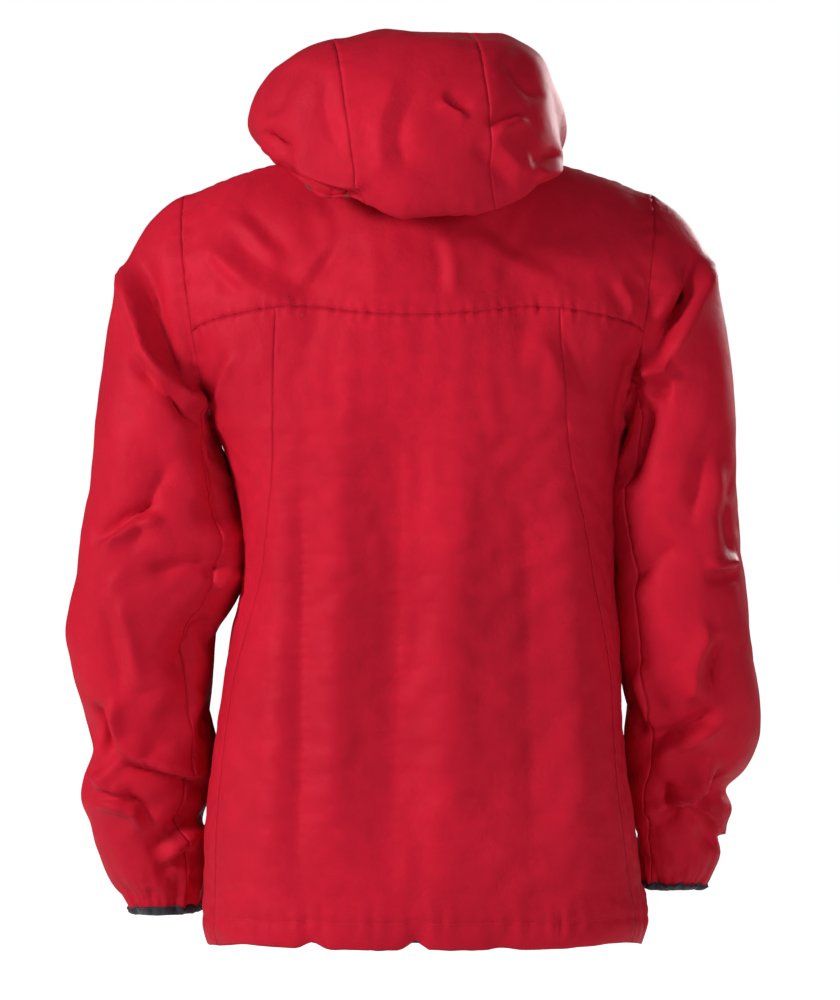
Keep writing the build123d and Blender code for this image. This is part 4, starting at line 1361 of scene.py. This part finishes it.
def braid(place):
    """Braided round cord, painted darker in the hollows between its strands and lighter where they cross on
    top.
    """
    colour = tuple(bpy.context.scene.jacket_colours.binding)
    turns = 2 * math.pi / (1.6 * MM)
    strand = ((place.axis(0) + place.axis(1) + place.axis(2) * 0.4) * turns).sine() * 0.5 + 0.5
    other = ((place.axis(0) - place.axis(1) - place.axis(2) * 0.4) * turns).sine() * 0.5 + 0.5
    cross = strand * other
    # painted shade in the hollows between the strands, painted highlight where they cross on top, following
    # the bump
    return {
        "Base Color": cross.between(shade(colour, 0.6), shade(colour, 2.4)),
        "Roughness": 0.62 + cross * 0.15,
        "Height": (cross, 0.0003),
    }


FINISHES = {
    "shell_fabric": (shell_cloth, {"Specular_Tint": (1.0, 0.16, 0.25, 1.0), "Specular_IOR_Level": 0.2}),
    "shell_lining": (lining_cloth, {"Sheen_Weight": 0.15, "Specular_IOR_Level": 0.35}),
    "binding": (elastic, {"Sheen_Weight": 0.25}),
    "zip_tape": (woven("tape", 1.3 * MM, 0.0002), {"Sheen_Weight": 0.15}),
    "zip_coil": (plastic("coil", 0.3), {}),
    "zip_metal": (painted_metal, {"Metallic": 0.85}),
    "zip_pull": (painted_metal, {"Metallic": 0.85}),
    "cord": (braid, {"Sheen_Weight": 0.2}),
    "cord_lock": (plastic("coil", 0.36), {}),
    "spring_steel": (spring_wire, {"Metallic": 1.0}),
    "webbing": (woven("binding", 1.6 * MM, 0.0003), {"Sheen_Weight": 0.2}),
    "label": (blank_label, {"Sheen_Weight": 0.2}),
    "seam_tape": (seam_film, {}),
    "sewing_thread": (thread, {}),
}


def finish(name):
    """The named finish's material."""
    build, constants = FINISHES[name]
    return material(name, build, **constants)


# ------------------------------------------------------------------ making pieces
FORMS = {}
PANELS = {
    "back_panel": (BACK, "shell"),
    "back_yoke": (YOKE, "shell"),
    "side_panel_left": (SIDE_L, "shell"),
    "side_panel_right": (SIDE_R, "shell"),
    "front_panel_left": (FRONT_L, "shell"),
    "front_panel_right": (FRONT_R, "shell"),
    "sleeve_upper_left": (UPPER_L, "shell"),
    "sleeve_upper_right": (UPPER_R, "shell"),
    "sleeve_under_left": (UNDER_L, "shell"),
    "sleeve_under_right": (UNDER_R, "shell"),
    "hood_side_left": (HOOD_L, "hood"),
    "hood_centre_panel": (HOOD_MID, "hood"),
    "hood_side_right": (HOOD_R, "hood"),
}


def thicken(obj, thickness, offset=-1.0):
    """A wall of the given thickness, its second material inside."""
    wall = obj.modifiers.new("thickness", "SOLIDIFY")
    wall.thickness = thickness
    wall.offset = offset
    wall.use_even_offset = False
    wall.material_offset = len(obj.data.materials) - 1


def finish_cloth(obj, outside, inside=None, node=None, thickness=None):
    """Materials, wall and body of one cloth piece, its CAD node hidden."""
    obj.data.materials.append(finish(outside))
    if inside:
        obj.data.materials.append(finish(inside))
    thicken(obj, thickness or bpy.context.scene.jacket_sizes.cloth)
    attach(obj, "root")
    if node:
        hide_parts(node)


def make_panels(form_name):
    """The cloth panels of the shell or the hood, each its own piece."""
    form = FORMS[form_name]
    for node, (panel, owner) in PANELS.items():
        if owner == form_name:
            obj = form.piece(f"cloth_{node}", [panel])
            finish_cloth(obj, "shell_fabric", "shell_lining", node=node)


def edge_frame(form, name):
    """Points, tangents, outward normals and inward directions along a line on a form's edge."""
    line = np.array(form.lines[name])
    points = form.points[line]
    closed = line[0] == line[-1]
    if closed:
        tangent = np.roll(points[:-1], -1, axis=0) - np.roll(points[:-1], 1, axis=0)
        tangent = np.vstack([tangent, tangent[:1]])
    else:
        tangent = np.gradient(points, axis=0)
    tangent = unit(tangent)
    normal = form.normals()[line]
    normal = unit(normal - (normal * tangent).sum(axis=1, keepdims=True) * tangent)
    inward = np.cross(normal, tangent)
    centres = form.points[form.quads].mean(axis=1)
    beside = np.isin(form.quads, line).any(axis=1)
    mean = np.zeros_like(form.points)
    for corner in form.quads[beside].T:
        np.add.at(mean, corner, centres[beside])
    uses = np.bincount(form.quads[beside].reshape(-1), minlength=len(form.points))
    mean = mean[line] / np.maximum(uses[line], 1)[:, None]
    facing = np.sign(((mean - points) * inward).sum(axis=1, keepdims=True))
    return points, tangent, normal, inward * facing


def bound_edge(name, form, line, width, node, pucker_size, seed):
    """Elastic binding folded over an edge of the cloth."""
    points, _, normal, inward = edge_frame(form, line)
    run = run_along(points)
    wave = ripple(run, 5 * MM, seed)[:, None] * pucker_size
    closed = np.allclose(points[0], points[-1])
    if closed:
        wave[-1] = wave[0]
    section = [(1.0, 0.9), (0.75, 1.7), (0.4, 2.0), (0.1, 1.7), (-0.06, 0.8), (-0.1, -0.2)]
    section += [(-0.06, -1.2), (0.1, -2.0), (0.4, -2.3), (0.75, -2.0), (1.0, -1.4)]
    rows = []
    for along, out in section:
        rows.append(points + inward * along * width + normal * (out * MM + wave * max(0.2, along)))
    obj = strip(name, rows)
    obj.data.materials.append(finish("binding"))
    turn_outwards(obj, points.mean(axis=0))
    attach(obj, "root")
    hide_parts(node)
    thicken(obj, 0.5 * MM)


def turn_outwards(obj, middle):
    """Flips the faces of a strip when most of them look inwards."""
    total = 0.0
    for polygon in obj.data.polygons:
        total += polygon.normal.dot(polygon.center - Vector(middle)) * polygon.area
    if total < 0:
        obj.data.flip_normals()


def neck_line(form):
    """The neck seam from the left of the zip round the back to its right."""
    order = (("neck_front_left", 1), ("neck_back_left", 1), ("neck_back_right", -1), ("neck_front_right", -1))
    parts = [form.points[form.lines[name][::step]] for name, step in order]
    return np.vstack([parts[0], parts[1][1:], parts[2][1:], parts[3][1:]])


def make_collar():
    """The stand-up collar and its lining."""
    left = curve(placed(COLLAR_TOP), 60)
    top = np.vstack([left, left[::-1][1:] * [-1, 1, 1]])
    bottom = neck_line(FORMS["shell"])
    count = 220
    for name, node, inset, outside in (
        ("cloth_collar", "collar", 0.0, "shell_fabric"),
        ("cloth_collar_lining", "collar_lining", 2.4, "shell_lining"),
    ):
        low, high = evenly(bottom, count), evenly(top, count)
        t = np.linspace(0, 1, 15)[:, None, None]
        bulge = 3 * MM * np.sin(np.pi * t)
        away = unit(((low + high) / 2 - mm(0, -80, 0)) * [1, 1, 0])
        along = np.linspace(0, 0.6, count)
        ends = smooth(np.minimum(along, 0.6 - along) / 0.05)
        wave = (ripple(along, 34 * MM, 31) * 1.1 * MM * ends)[:, None]
        rows = (1 - t) * low + t * high + away * (bulge + wave * np.sin(np.pi * t) - inset * MM)
        obj = strip(name, rows)
        if outside == "shell_fabric":
            turn_outwards(obj, (0, -0.08, 0.03))
        finish_cloth(obj, outside, "shell_lining", node=node, thickness=0.9 * MM)


def make_hem():
    """The hem's facing, which closes its casing, and the drawcord inside."""
    form = FORMS["shell"]
    normals = form.normals()
    limit = HEM_STITCH_Z + 7 * MM
    low = (form.points[form.quads][..., 2] < limit).all(axis=1) & (form.panel < UPPER_L)
    casing = np.clip((HEM_STITCH_Z - form.points[:, 2]) / (HEM_STITCH_Z - HEM_Z), 0, 1)
    inset = 1.0 * MM + 7.0 * MM * np.sin(np.pi * casing) ** 0.6
    facing = Form()
    facing.points = form.points - normals * inset[:, None]
    facing.quads = form.quads[low][:, ::-1]
    facing.cloth = form.cloth[low][:, ::-1]
    facing.panel = np.zeros(low.sum(), int)
    obj = facing.piece("cloth_hem_facing", [0])
    finish_cloth(obj, "shell_lining", "shell_fabric", node="hem_facing", thickness=0.4 * MM)

    line = np.array(form.lines["hem_stitch"])
    path = form.points[line] - normals[line] * 4.6 * MM
    path[:, 2] = HEM_Z + 14 * MM
    tube = tube_along("hem_drawcord_braid", evenly(path[6:-6], 260), 1.25 * MM, 10)
    tube.data.materials.append(finish("cord"))
    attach(tube, "root")
    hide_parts("hem_drawcord")


def tube_along(name, path, radius, sides):
    """A closed round tube along a line."""
    data = bpy.data.curves.new(name, "CURVE")
    data.dimensions = "3D"
    data.bevel_depth = radius
    data.bevel_resolution = max(0, sides // 4 - 1)
    data.use_fill_caps = True
    spline = data.splines.new("POLY")
    spline.points.add(len(path) - 1)
    spline.points.foreach_set("co", np.column_stack([path, np.ones(len(path))]).reshape(-1))
    shape = placed_object(name, data)
    mesh = bpy.data.meshes.new_from_object(shape.evaluated_get(bpy.context.evaluated_depsgraph_get()))
    bpy.data.objects.remove(shape)
    bpy.data.curves.remove(data)
    mesh.name = name
    mesh.shade_smooth()
    return placed_object(name, mesh)


def flat_strip(name, node, wave, bow, outside, thickness, seed, rounded=0.0):
    """A long flat strip in the place of its CAD node, gently waved, its corners rounded."""
    low, high = (np.array(corner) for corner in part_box(node))
    width, length = high[0] - low[0], high[2] - low[2]
    cols = max(6, int(width / (3 * MM)))
    rows = max(8, int(length / (4 * MM)))
    u, v = np.meshgrid(np.linspace(-1, 1, cols + 1), np.linspace(-1, 1, rows + 1))
    x, z = u, v
    if rounded:
        corner_x, corner_z = rounded / (width / 2), rounded / (length / 2)
        inner_x, inner_z = 1 - corner_x, 1 - corner_z
        over_x = np.maximum(np.abs(u) - inner_x, 0) / corner_x
        over_z = np.maximum(np.abs(v) - inner_z, 0) / corner_z
        far = np.sqrt(over_x**2 + over_z**2)
        most = np.maximum(over_x, over_z)
        pull = np.where(far > 0, most / np.maximum(far, 1e-9), 1)
        x = np.sign(u) * (np.minimum(np.abs(u), inner_x) + over_x * pull * corner_x)
        z = np.sign(v) * (np.minimum(np.abs(v), inner_z) + over_z * pull * corner_z)
    middle = (low + high) / 2
    depth = wave * ripple((v + 1) * length / 2, 60 * MM, seed) * (1 - 0.3 * u**2)
    depth = depth + bow * (1 - u**2) * (1 - v**4)
    points = np.stack([middle[0] + x * width / 2, middle[1] + depth, middle[2] + z * length / 2], axis=-1)
    obj = strip(name, points)
    finish_cloth(obj, outside, node=node, thickness=thickness)


def make_inside_pieces():
    """Wind flap, chin guard, pocket bags, label and the yoke's seam tape."""
    flat_strip("cloth_wind_flap", "wind_flap", 0.7 * MM, 0.8 * MM, "shell_fabric", 0.9 * MM, 41, 6 * MM)
    flat_strip("cloth_chin_guard", "chin_guard", 0.1 * MM, 0.8 * MM, "shell_lining", 0.9 * MM, 42, 7 * MM)
    flat_strip("cloth_care_label", "care_label", 0.2 * MM, -1.5 * MM, "label", 0.25 * MM, 43, 1.5 * MM)
    for number, (side, _) in enumerate(SIDES):
        name = f"pocket_bag_{side}"
        flat_strip(f"cloth_{name}", name, 1.2 * MM, 5 * MM, "shell_lining", 0.4 * MM, 44 + number, 16 * MM)

    form = FORMS["shell"]
    left, right = form.lines["yoke_left"], form.lines["yoke_right"]
    line = np.array(left + right[::-1][1:])
    points, normals = form.points[line], form.normals()[line]
    kept = np.abs(points[:, 0]) < 165 * MM
    points, normals = points[kept], normals[kept]
    upward = np.cross(tangents(points), normals)
    upward *= np.sign(upward[:, 2:])
    rows = [points + upward * across * MM - normals * 1.6 * MM for across in (-10, -6, -2, 2, 6, 10)]
    obj = strip("cloth_yoke_seam_tape", rows)
    finish_cloth(obj, "seam_tape", node="yoke_seam_tape", thickness=0.15 * MM)


# ------------------------------------------------------------------ what repeats
def repeating_tree():
    """Geometry Nodes: small ellipsoids set along a line, with named inputs for their sizes."""
    name = "along a line"
    if name in bpy.data.node_groups:
        return bpy.data.node_groups[name]
    tree = bpy.data.node_groups.new(name, "GeometryNodeTree")
    face = tree.interface
    face.new_socket("Geometry", in_out="INPUT", socket_type="NodeSocketGeometry")
    defaults = (("Pitch", 3 * MM), ("Length", 2.2 * MM), ("Width", 0.6 * MM), ("Height", 0.5 * MM))
    for label, default in defaults:
        socket = face.new_socket(label, in_out="INPUT", socket_type="NodeSocketFloat")
        socket.default_value = default
        socket.subtype = "DISTANCE"
    face.new_socket("Material", in_out="INPUT", socket_type="NodeSocketMaterial")
    face.new_socket("Geometry", in_out="OUTPUT", socket_type="NodeSocketGeometry")
    nodes, links = tree.nodes, tree.links
    given, result = nodes.new("NodeGroupInput"), nodes.new("NodeGroupOutput")
    to_curve = nodes.new("GeometryNodeMeshToCurve")
    to_points = nodes.new("GeometryNodeCurveToPoints")
    to_points.mode = "LENGTH"
    bead = nodes.new("GeometryNodeMeshIcoSphere")
    bead.inputs["Radius"].default_value = 0.5
    bead.inputs["Subdivisions"].default_value = 1
    size = nodes.new("ShaderNodeCombineXYZ")
    turn = nodes.new("FunctionNodeAlignRotationToVector")
    turn.axis = "X"
    place = nodes.new("GeometryNodeInstanceOnPoints")
    real = nodes.new("GeometryNodeRealizeInstances")
    smooth_faces = nodes.new("GeometryNodeSetShadeSmooth")
    paint = nodes.new("GeometryNodeSetMaterial")
    for source, target in (
        (given.outputs["Geometry"], to_curve.inputs["Mesh"]),
        (to_curve.outputs["Curve"], to_points.inputs["Curve"]),
        (given.outputs["Pitch"], to_points.inputs["Length"]),
        (to_points.outputs["Points"], place.inputs["Points"]),
        (to_points.outputs["Tangent"], turn.inputs["Vector"]),
        (to_points.outputs["Rotation"], turn.inputs["Rotation"]),
        (bead.outputs["Mesh"], place.inputs["Instance"]),
        (turn.outputs["Rotation"], place.inputs["Rotation"]),
        (given.outputs["Length"], size.inputs["X"]),
        (given.outputs["Width"], size.inputs["Y"]),
        (given.outputs["Height"], size.inputs["Z"]),
        (size.outputs["Vector"], place.inputs["Scale"]),
        (place.outputs["Instances"], real.inputs["Geometry"]),
        (real.outputs["Geometry"], smooth_faces.inputs["Geometry"]),
        (smooth_faces.outputs["Geometry"], paint.inputs["Geometry"]),
        (given.outputs["Material"], paint.inputs["Material"]),
        (paint.outputs["Geometry"], result.inputs["Geometry"]),
    ):
        links.new(source, target)
    return tree


def along_lines(name, lines, pitch, length, width, height, painted):
    """One mesh of small shapes set along several lines."""
    mesh = bpy.data.meshes.new(name)
    points, edges = [], []
    for line in lines:
        first = len(points)
        points += [tuple(p) for p in line]
        edges += [(first + k, first + k + 1) for k in range(len(line) - 1)]
    mesh.from_pydata(points, edges, [])
    guide = placed_object(name, mesh)
    modifier = guide.modifiers.new("repeat", "NODES")
    tree = repeating_tree()
    modifier.node_group = tree
    values = {"Pitch": pitch, "Length": length, "Width": width, "Height": height, "Material": finish(painted)}
    for item in tree.interface.items_tree:
        if item.in_out == "INPUT" and item.name in values:
            modifier[item.identifier] = values[item.name]
    graph = bpy.context.evaluated_depsgraph_get()
    graph.update()
    made = bpy.data.meshes.new_from_object(guide.evaluated_get(graph))
    bpy.data.objects.remove(guide)
    bpy.data.meshes.remove(mesh)
    if not made.polygons:
        raise RuntimeError(f"{name} came out empty")
    made.name = name
    if not made.materials:
        made.materials.append(finish(painted))
    return placed_object(name, made)


def stitch_line(form, name, across):
    """A line of stitches beside a seam, the given distance across the cloth from it."""
    line = np.array(form.lines[name])
    points = form.points[line]
    normal = form.normals()[line]
    beside = points + np.cross(normal, tangents(points)) * across
    tree = FORM_TREES[id(form)]
    out = []
    for spot in beside:
        _, number, _ = tree.find(spot)
        n = form.normal_cache[number]
        gap = np.dot(form.points[number] - spot, n)
        out.append(spot + n * (gap + 0.12 * MM))
    return np.array(out)


FORM_TREES = {}


def ready_for_stitches(form):
    """A search tree and normals of the form's points."""
    tree = KDTree(len(form.points))
    for number, point in enumerate(form.points):
        tree.insert(point, number)
    tree.balance()
    FORM_TREES[id(form)] = tree
    form.normal_cache = form.normals()


def make_stitching():
    """Topstitching beside the seams of the body, sleeves and hood."""
    sizes = bpy.context.scene.jacket_sizes
    stitch = (sizes.stitch_pitch, sizes.stitch_length, 0.42 * MM, 0.34 * MM, "sewing_thread")
    shell, hood = FORMS["shell"], FORMS["hood"]
    ready_for_stitches(shell)
    ready_for_stitches(hood)
    groups = {
        "stitching_yoke": [(shell, f"yoke_{side}", s * 1.8 * MM) for side, s in SIDES],
        "stitching_armholes": [(shell, f"armhole_{side}", s * 1.8 * MM) for side, s in SIDES],
        "stitching_hem": [(shell, "hem_stitch", 0.4 * MM)],
        "stitching_zip_edges": [(shell, f"zip_edge_{side}", -s * 5.5 * MM) for side, s in SIDES],
        "stitching_hood": [(hood, "hood_seam_left", 1.6 * MM), (hood, "hood_seam_right", -1.6 * MM)],
    }
    for name, lines in groups.items():
        obj = along_lines(name, [stitch_line(*line) for line in lines], *stitch)
        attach(obj, "root")


def make_zip_coils():
    """The coil teeth of the three zips."""
    pitch = bpy.context.scene.jacket_sizes.coil_pitch
    for node in side_lines("front_zip_teeth", "pocket_zip_teeth"):
        low, high = (np.array(corner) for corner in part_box(node))
        middle_y = (low[1] + high[1]) / 2
        places = [(low[0] + high[0]) / 2] if node[0] == "f" else [low[0] + 1.3 * MM, high[0] - 1.3 * MM]
        lines = []
        for number, x in enumerate(places):
            shift = pitch / 2 * (number if node[0] == "p" else (0 if x > 0 else 1))
            lines.append([(x, middle_y, low[2] + shift), (x, middle_y, high[2] - pitch / 2 + shift)])
        obj = along_lines("coil_" + node, lines, pitch, 0.78 * pitch, 2.6 * MM, high[1] - low[1], "zip_coil")
        spread = np.zeros(len(obj.data.vertices) * 3)
        obj.data.vertices.foreach_get("co", spread)
        spread = spread.reshape(-1, 3)
        if np.ptp(spread[:, 1]) > 4 * MM or np.ptp(spread[:, 0]) < 2 * MM:
            middle = np.array([np.mean(places), middle_y])
            spread[:, :2] = spread[:, [1, 0]] - middle[::-1] + middle
        obj.data.vertices.foreach_set("co", spread.reshape(-1))
        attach(obj, "root")
        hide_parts(node)


CAD_FINISHES = {
    "zip_tape": "zip_tape",
    "slider": "zip_metal",
    "zip_pull": "zip_pull",
    "zip_box": "zip_metal",
    "zip_pin": "zip_metal",
    "stops": "zip_metal",
    "lock_body": "cord_lock",
    "plunger": "cord_lock",
    "spring": "spring_steel",
    "hanger_loop": "webbing",
}


def finish_fittings():
    """The CAD's own sliders, pulls, stops, cord locks, tapes and loop get their finishes."""
    for node, obj in NODES.items():
        for words, name in CAD_FINISHES.items():
            if words in node:
                made = finish(name)
                if not obj.data.materials:
                    obj.data.materials.append(made)
                for number in range(len(obj.data.materials)):
                    obj.data.materials[number] = made


# ------------------------------------------------------------------ stage
STUDIO_WHITE = 1.0  # how bright the backdrop looks
STUDIO_GLOW = 0.08  # how much light it gives
FLOOR_HALF = 40  # metres from the middle of the floor to its edges
FLOOR_DROP = 0.5  # metres from the hem down to the floor


def pale_floor(place):
    """Nearly white matt floor."""
    cloud = place.noise(1.5, 2.0)
    tone = cloud.between((0.86, 0.86, 0.86, 1.0), (0.9, 0.9, 0.9, 1.0))
    return {"Base Color": tone, "Roughness": 0.9 + cloud * 0.05}


def soft_light(name, location, target, power, size):
    """A square soft box aimed at a point."""
    data = bpy.data.lights.new(name, "AREA")
    data.energy = power
    data.size = size
    lamp = placed_object(name, data)
    lamp.location = location
    lamp.rotation_euler = (Vector(target) - Vector(location)).to_track_quat("-Z", "Y").to_euler()


def make_stage():
    """Camera behind the jacket, pale floor, soft light."""
    scene = bpy.context.scene
    data = bpy.data.cameras.new("back_view")
    data.lens = 136
    camera = placed_object("back_view", data)
    camera.location = (-0.002, 3.6, -0.285)
    camera.rotation_euler = (math.pi / 2, 0, math.pi)
    scene.camera = camera

    floor_z = HEM_Z - FLOOR_DROP
    mesh = bpy.data.meshes.new("floor")
    corners = [(x * FLOOR_HALF, y * FLOOR_HALF, floor_z) for x, y in ((-1, -1), (1, -1), (1, 1), (-1, 1))]
    mesh.from_pydata(corners, [], [(0, 1, 2, 3)])
    floor = placed_object("floor", mesh)
    paint = material("pale_floor", pale_floor, Emission_Color=(1.0, 1.0, 1.0, 1.0))
    seen = paint.node_tree.nodes.new("ShaderNodeLightPath").outputs["Is Camera Ray"]
    glow = Wire(paint.node_tree, seen) * STUDIO_WHITE
    shader = paint.node_tree.nodes["Principled BSDF"]
    paint.node_tree.links.new(glow.socket, shader.inputs["Emission Strength"])
    floor.data.materials.append(paint)

    world = bpy.data.worlds.new("studio")
    world.use_nodes = True
    background = world.node_tree.nodes["Background"]
    background.inputs["Color"].default_value = (1.0, 1.0, 1.0, 1.0)
    seen = Wire(world.node_tree, world.node_tree.nodes.new("ShaderNodeLightPath").outputs["Is Camera Ray"])
    strength = seen * (STUDIO_WHITE - STUDIO_GLOW) + STUDIO_GLOW
    world.node_tree.links.new(strength.socket, background.inputs["Strength"])
    scene.world = world
    scene.view_settings.view_transform = "Standard"
    middle = (0, -0.05, -0.3)
    soft_light("key", (2.9, 1.7, 1.0), middle, 112, 0.8)
    soft_light("fill", (-2.0, 3.2, 0.2), middle, 42, 1.2)
    soft_light("front", (-1.8, -2.8, 1.0), middle, 70, 1.2)


# ------------------------------------------------------------------ the add-on
def colour(name, text, value):
    """A colour property."""
    return bpy.props.FloatVectorProperty(
        name=name, description=text, subtype="COLOR", size=4, min=0.0, max=1.0, default=value
    )


def length(name, text, value):
    """A length property."""
    return bpy.props.FloatProperty(
        name=name, description=text, unit="LENGTH", subtype="DISTANCE", default=value
    )


class JacketColours(bpy.types.PropertyGroup):
    """Colours of the jacket's materials."""

    shell: colour("Shell", "Shell cloth", (0.57, 0.011, 0.031, 1.0))
    lining: colour("Lining", "Coated inner face and facings", (0.3, 0.012, 0.022, 1.0))
    binding: colour("Binding", "Elastic binding, cord and loop", (0.008, 0.008, 0.018, 1.0))
    tape: colour("Zip tape", "Woven zip tapes", (0.34, 0.01, 0.022, 1.0))
    coil: colour("Zip coil", "Zip coils and cord locks", (0.02, 0.02, 0.024, 1.0))
    hardware: colour("Zip metal", "Sliders, pulls, stops and box", (0.05, 0.05, 0.055, 1.0))


class JacketSizes(bpy.types.PropertyGroup):
    """Sizes of the jacket's fine detail."""

    cloth: length("Cloth", "Thickness of the shell cloth", 0.45 * MM)
    stitch_pitch: length("Stitch pitch", "From one stitch to the next", 3.0 * MM)
    stitch_length: length("Stitch length", "Length of one stitch", 2.3 * MM)
    coil_pitch: length("Coil pitch", "From one turn of a zip coil to the next", 1.4 * MM)


class JACKET_OT_shell(bpy.types.Operator):
    """Fold, settle and cut the body and sleeves"""

    bl_idname = "jacket.shell"
    bl_label = "Body and sleeves"

    def execute(self, context):
        FORMS["shell"] = finished_shell()
        make_panels("shell")
        return {"FINISHED"}


class JACKET_OT_hood(bpy.types.Operator):
    """Fold and cut the hood"""

    bl_idname = "jacket.hood"
    bl_label = "Hood"

    def execute(self, context):
        FORMS["hood"] = finished_hood()
        make_panels("hood")
        return {"FINISHED"}


class JACKET_OT_collar(bpy.types.Operator):
    """Stand the collar on the neck seam"""

    bl_idname = "jacket.collar"
    bl_label = "Collar"

    def execute(self, context):
        make_collar()
        return {"FINISHED"}


class JACKET_OT_bindings(bpy.types.Operator):
    """Bind the cuffs and the face opening"""

    bl_idname = "jacket.bindings"
    bl_label = "Bindings"

    def execute(self, context):
        for number, (side, _) in enumerate(SIDES):
            name = f"cuff_binding_{side}"
            bound_edge(f"cloth_{name}", FORMS["shell"], f"cuff_{side}", 9 * MM, name, 0.5 * MM, 51 + number)
        name = "hood_edge_binding"
        bound_edge(f"cloth_{name}", FORMS["hood"], "face", 9 * MM, name, 0.3 * MM, 53)
        return {"FINISHED"}


class JACKET_OT_hem(bpy.types.Operator):
    """Face the hem and thread its cord"""

    bl_idname = "jacket.hem"
    bl_label = "Hem"

    def execute(self, context):
        make_hem()
        return {"FINISHED"}


class JACKET_OT_inside(bpy.types.Operator):
    """Make the flap, chin guard, pocket bags, label and seam tape"""

    bl_idname = "jacket.inside"
    bl_label = "Inside pieces"

    def execute(self, context):
        make_inside_pieces()
        return {"FINISHED"}


class JACKET_OT_zips(bpy.types.Operator):
    """Make the zip coils and finish the fittings"""

    bl_idname = "jacket.zips"
    bl_label = "Zips and fittings"

    def execute(self, context):
        make_zip_coils()
        finish_fittings()
        return {"FINISHED"}


class JACKET_OT_stitching(bpy.types.Operator):
    """Topstitch the seams"""

    bl_idname = "jacket.stitching"
    bl_label = "Stitching"

    def execute(self, context):
        make_stitching()
        return {"FINISHED"}


class JACKET_OT_stage(bpy.types.Operator):
    """Set the camera, floor and light"""

    bl_idname = "jacket.stage"
    bl_label = "Stage"

    def execute(self, context):
        make_stage()
        return {"FINISHED"}


OPERATORS = (
    JACKET_OT_stage,
    JACKET_OT_shell,
    JACKET_OT_hood,
    JACKET_OT_collar,
    JACKET_OT_bindings,
    JACKET_OT_hem,
    JACKET_OT_inside,
    JACKET_OT_zips,
    JACKET_OT_stitching,
)


class JACKET_PT_panel(bpy.types.Panel):
    """The jacket's colours, sizes and steps"""

    bl_idname = "JACKET_PT_panel"
    bl_label = "Jacket"
    bl_space_type = "VIEW_3D"
    bl_region_type = "UI"
    bl_category = "Jacket"

    def draw(self, context):
        for group in (context.scene.jacket_colours, context.scene.jacket_sizes):
            for name in type(group).__annotations__:
                self.layout.prop(group, name)
        for operator in OPERATORS:
            self.layout.operator(operator.bl_idname)


CLASSES = (JacketColours, JacketSizes, *OPERATORS, JACKET_PT_panel)


def register():
    for kind in CLASSES:
        bpy.utils.register_class(kind)
    bpy.types.Scene.jacket_colours = bpy.props.PointerProperty(type=JacketColours)
    bpy.types.Scene.jacket_sizes = bpy.props.PointerProperty(type=JacketSizes)


def unregister():
    del bpy.types.Scene.jacket_colours
    del bpy.types.Scene.jacket_sizes
    for kind in reversed(CLASSES):
        bpy.utils.unregister_class(kind)


def main():
    register()
    for operator in OPERATORS:
        group, name = operator.bl_idname.split(".")
        getattr(getattr(bpy.ops, group), name)()


if __name__ == "__main__":
    main()
